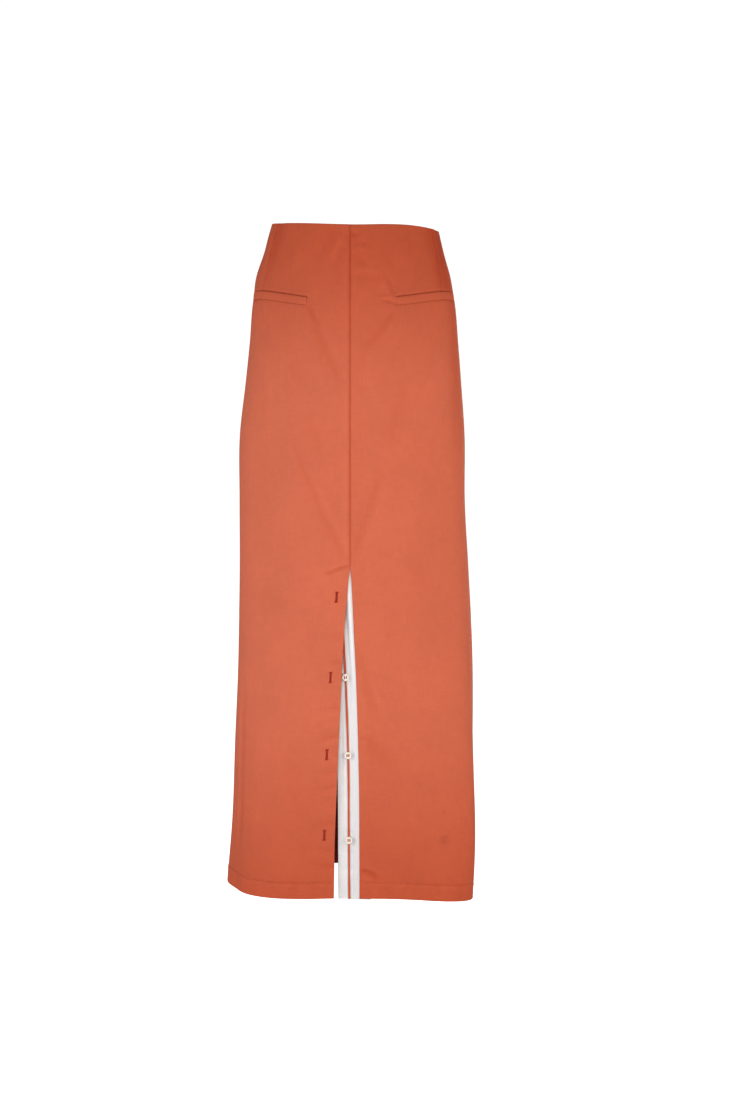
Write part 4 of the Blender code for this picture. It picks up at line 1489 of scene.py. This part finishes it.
def sewing_thread(name, color):
    """Twisted thread: slanting plies round the strand, each painted a little lighter on its crown and
    darker between, as painted light and shade, mixed with a random unevenness of the dye.
    """
    finish = new_finish(name)
    place = finish.place()
    turns = finish.part(place, 0) * PLY_TURN + finish.part(place, 1) * (math.tau / PLY_WIDTH)
    ply = turns.sine() * 0.5 + 0.5
    dye = finish.noise(place, 400.0)
    base = finish.mix(ply * 0.6 + dye * 0.4, shade(color, 0.65), shade(color, 1.3))
    finish.set(Base_Color=base, Roughness=0.62, Normal=finish.bump(ply, PLY_DEPTH, 0.6))
    finish.set(Sheen_Weight=0.0, Specular_IOR_Level=0.2)
    return finish.owner


def polished_button(name, color):
    """Cream polished shell-like resin: faint drawn-out clouds, a browner rim that is painted shade, and
    a soft gloss.
    """
    finish = new_finish(name)
    place = finish.place()
    cloud = finish.noise(finish.scaled(place, 120.0, 420.0), 1.0, 3.0, 0.6)
    x, y = finish.part(place, 0), finish.part(place, 1)
    rim = (x * x + y * y).rise((3.6 * MM) ** 2, (4.9 * MM) ** 2)
    base = finish.mix(cloud, shade(color, 0.88), shade(color, 1.1))
    base = finish.mix(rim * 0.35, base, BUTTON_RIM_SHADE)
    finish.set(Base_Color=base, Roughness=0.28 + cloud * 0.1, Coat_Weight=0.3)
    finish.set(Coat_Roughness=0.12, Specular_IOR_Level=0.5)
    return finish.owner


def grey(level):
    return (level, level, level, 1.0)


def studio_white(name):
    """A pale matt floor that shows white, and gives the skirt only a little light from below."""
    finish = new_finish(name)
    grain = finish.noise(finish.node("ShaderNodeTexCoord", {}, {}, 3), 3.0)
    base = finish.mix(grain, grey(0.58), grey(0.60))
    seen = finish.node("ShaderNodeLightPath", {}, {})
    glow = finish.mix(seen, grey(0.17), grey(0.95))
    finish.set(Base_Color=base, Roughness=0.9, Emission_Color=glow, Emission_Strength=1.0)
    finish.set(Specular_IOR_Level=0.0)
    return finish.owner


# ---- studio
def make_floor():
    """A wide flat disc of pale floor: rings of growing radius."""
    radius = np.linspace(0.0, 1.0, FLOOR_RINGS)[:, None] ** 1.5 * FLOOR_RADIUS + MM
    turn = full_turn(FLOOR_CORNERS)[None, :]
    depth = np.full((FLOOR_RINGS, FLOOR_CORNERS), FLOOR_DEPTH)
    points = np.stack([radius * np.cos(turn), radius * np.sin(turn), depth], axis=-1)
    index = np.arange(depth.size).reshape(depth.shape)
    parts = Parts()
    parts.add(points / MM, quads(np.concatenate([index, index[:, :1]], axis=1)), points[..., :2])
    parts.faces.append(tuple(index[0].tolist()))
    parts.make("studio_floor", studio_white("studio white"))


def make_world():
    """White walls all round, which give the skirt only a soft part of its light."""
    world = bpy.data.worlds.new("studio")
    bpy.context.scene.world = world
    finish = Finish(world, "Background")
    seen = finish.node("ShaderNodeLightPath", {}, {})
    finish.set(Color=finish.mix(seen, grey(0.50), grey(1.05)), Strength=1.0)


LIGHT_COLUMNS = ("name", "place", "aim", "width", "height", "power", "color")
LIGHTS = (
    ("key", (-0.30, -2.30, -0.42), (0.0, 0.0, -0.43), 1.40, 1.10, 19.4, (1.0, 1.0, 1.0)),
    ("fill right", (1.08, -0.82, -0.36), (0.1, 0.0, -0.38), 0.60, 0.9, 11.8, (1.0, 0.88, 0.75)),
    ("fill left", (-1.25, -0.82, -0.40), (-0.1, 0.0, -0.44), 0.60, 1.0, 12.8, (1.0, 0.98, 0.95)),
    ("back", (0.35, 2.10, -0.30), (0.0, 0.0, -0.48), 1.20, 1.00, 26.0, (1.0, 1.0, 1.0)),
)


def make_lights():
    for light in named_rows(LIGHTS, LIGHT_COLUMNS):
        data = bpy.data.lights.new(light["name"], "AREA")
        data.shape = "RECTANGLE"
        data.size = light["width"]
        data.size_y = light["height"]
        data.energy = light["power"]
        data.color = light["color"]
        lamp = bpy.data.objects.new(light["name"], data)
        lamp.location = light["place"]
        towards = Vector(light["aim"]) - Vector(light["place"])
        lamp.rotation_euler = towards.to_track_quat("-Z", "Y").to_euler()
        lamp.visible_camera = False
        bpy.context.scene.collection.objects.link(lamp)


def make_camera():
    data = bpy.data.cameras.new("camera")
    data.lens = CAMERA_LENS
    data.sensor_width = SENSOR
    camera = bpy.data.objects.new("camera", data)
    camera.location = CAMERA_PLACE
    camera.rotation_euler = (math.radians(90.0 - CAMERA_PITCH), 0.0, 0.0)
    bpy.context.scene.collection.objects.link(camera)
    bpy.context.scene.camera = camera


# ---- the garment
TERRACOTTA = (0.464, 0.1277, 0.072, 1.0)
# painted shade: the cloth's colour at the waist and the hem
TERRACOTTA_WAIST_HEM_SHADE = (0.405, 0.086, 0.039, 1.0)
# painted shade: dark colour of the wrong side and the turned-in parts
TERRACOTTA_INSIDE_SHADE = (0.15, 0.012, 0.009, 1.0)
# painted shade: multiplies the colour down in creases
TERRACOTTA_CREASE_SHADE = (0.88, 0.54, 0.36)
TERRACOTTA_TAPE = (0.44, 0.095, 0.042, 1.0)
WHITE = (0.638, 0.634, 0.650, 1.0)
# painted shade of the white cotton at the waist and the hem, and on its wrong side
WHITE_SHADE = (0.588, 0.584, 0.600, 1.0)
# painted shade down in the white cotton's creases
WHITE_CREASE_SHADE = (0.72, 0.72, 0.76)
CREAM = (0.68, 0.62, 0.56, 1.0)
# painted shade on the button's rim
BUTTON_RIM_SHADE = (0.52, 0.42, 0.33, 1.0)
DARK_RED = (0.33, 0.036, 0.020, 1.0)
HEM_THREAD = (0.20, 0.055, 0.024, 1.0)
# how strong the painted shade towards the hem is
SHADE_AT_HEM = 1.1
DISPLAY_GAMMA = 0.85
# faint darker round spots on the right front: across, drop, radius and strength
DARK_SPOTS = ((131.0, 838.0, 9.0, 0.30), (130.0, 800.0, 5.0, 0.14), (104.0, 817.0, 4.5, 0.12))

make_camera()
make_world()
make_lights()
make_floor()
bpy.context.scene.view_settings.view_transform = "Standard"
bpy.context.scene.view_settings.gamma = DISPLAY_GAMMA

terracotta = (TERRACOTTA, TERRACOTTA_WAIST_HEM_SHADE, TERRACOTTA_INSIDE_SHADE, TERRACOTTA_CREASE_SHADE, 0.32, 0.00042)
front_cotton = cotton("terracotta cotton", *terracotta)
marked_cotton = cotton("terracotta cotton, marked", *terracotta, DARK_SPOTS)
white_cotton = cotton("white cotton", WHITE, WHITE_SHADE, WHITE_SHADE, WHITE_CREASE_SHADE, 0.10, 0.00036)
tape_cotton = cotton("terracotta tape", *[TERRACOTTA_TAPE] * 3, TERRACOTTA_CREASE_SHADE, 0.32, 0.0006)
dark_thread = sewing_thread("dark red thread", DARK_RED)
hem_thread = sewing_thread("hem thread", HEM_THREAD)
resin = polished_button("cream button", CREAM)

front_left = make_front(-1, "front_left_cloth", front_cotton)
front_right = make_front(1, "front_right_cloth", marked_cotton)
back_left = make_back(-1, "back_left_cloth", front_cotton)
back_right = make_back(1, "back_right_cloth", front_cotton)
underlap = make_underlap("slit_underlap_cloth", white_cotton)
tape = make_tape("underlap_tape_cloth", tape_cotton)
welt_left = make_welt(-1, "pocket_welt_left_cloth", front_cotton)
welt_right = make_welt(1, "pocket_welt_right_cloth", front_cotton)
for piece in (front_left, front_right, back_left, back_right, underlap, tape, welt_left, welt_right):
    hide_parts(piece.name.removesuffix("_cloth"))

buttons = [make_button(n, drop, resin) for n, drop in enumerate(BUTTON_DROPS, start=1)]
threads = [make_button_thread(n, drop, dark_thread) for n, drop in enumerate(BUTTON_DROPS, start=1)]
buttonholes = [make_buttonhole(n, *row, dark_thread) for n, row in enumerate(BUTTONHOLES, start=1)]
hem_edge = float(edge_arc(-1, LENGTH)), float(edge_arc(1, LENGTH))
hem_left = make_hem_stitches("hem_stitches_front_left", FRONT, -1, hem_edge[0], hem_thread)
hem_right = make_hem_stitches("hem_stitches_front_right", FRONT, 1, hem_edge[1], hem_thread)
hem_back_left = make_hem_stitches("hem_stitches_back_left", BACK, -1, 0.0, hem_thread)
hem_back_right = make_hem_stitches("hem_stitches_back_right", BACK, 1, 0.0, hem_thread)

SLOTS = (
    ("terracotta_cotton", [front_left, front_right, back_left, back_right, welt_left, welt_right]),
    ("white_cotton", [underlap]),
    ("terracotta_tape", [tape]),
    ("button", buttons),
)
stitching = threads + buttonholes + [hem_left, hem_right, hem_back_left, hem_back_right]
for piece in [p for _, pieces in SLOTS for p in pieces] + stitching:
    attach(piece, "root")
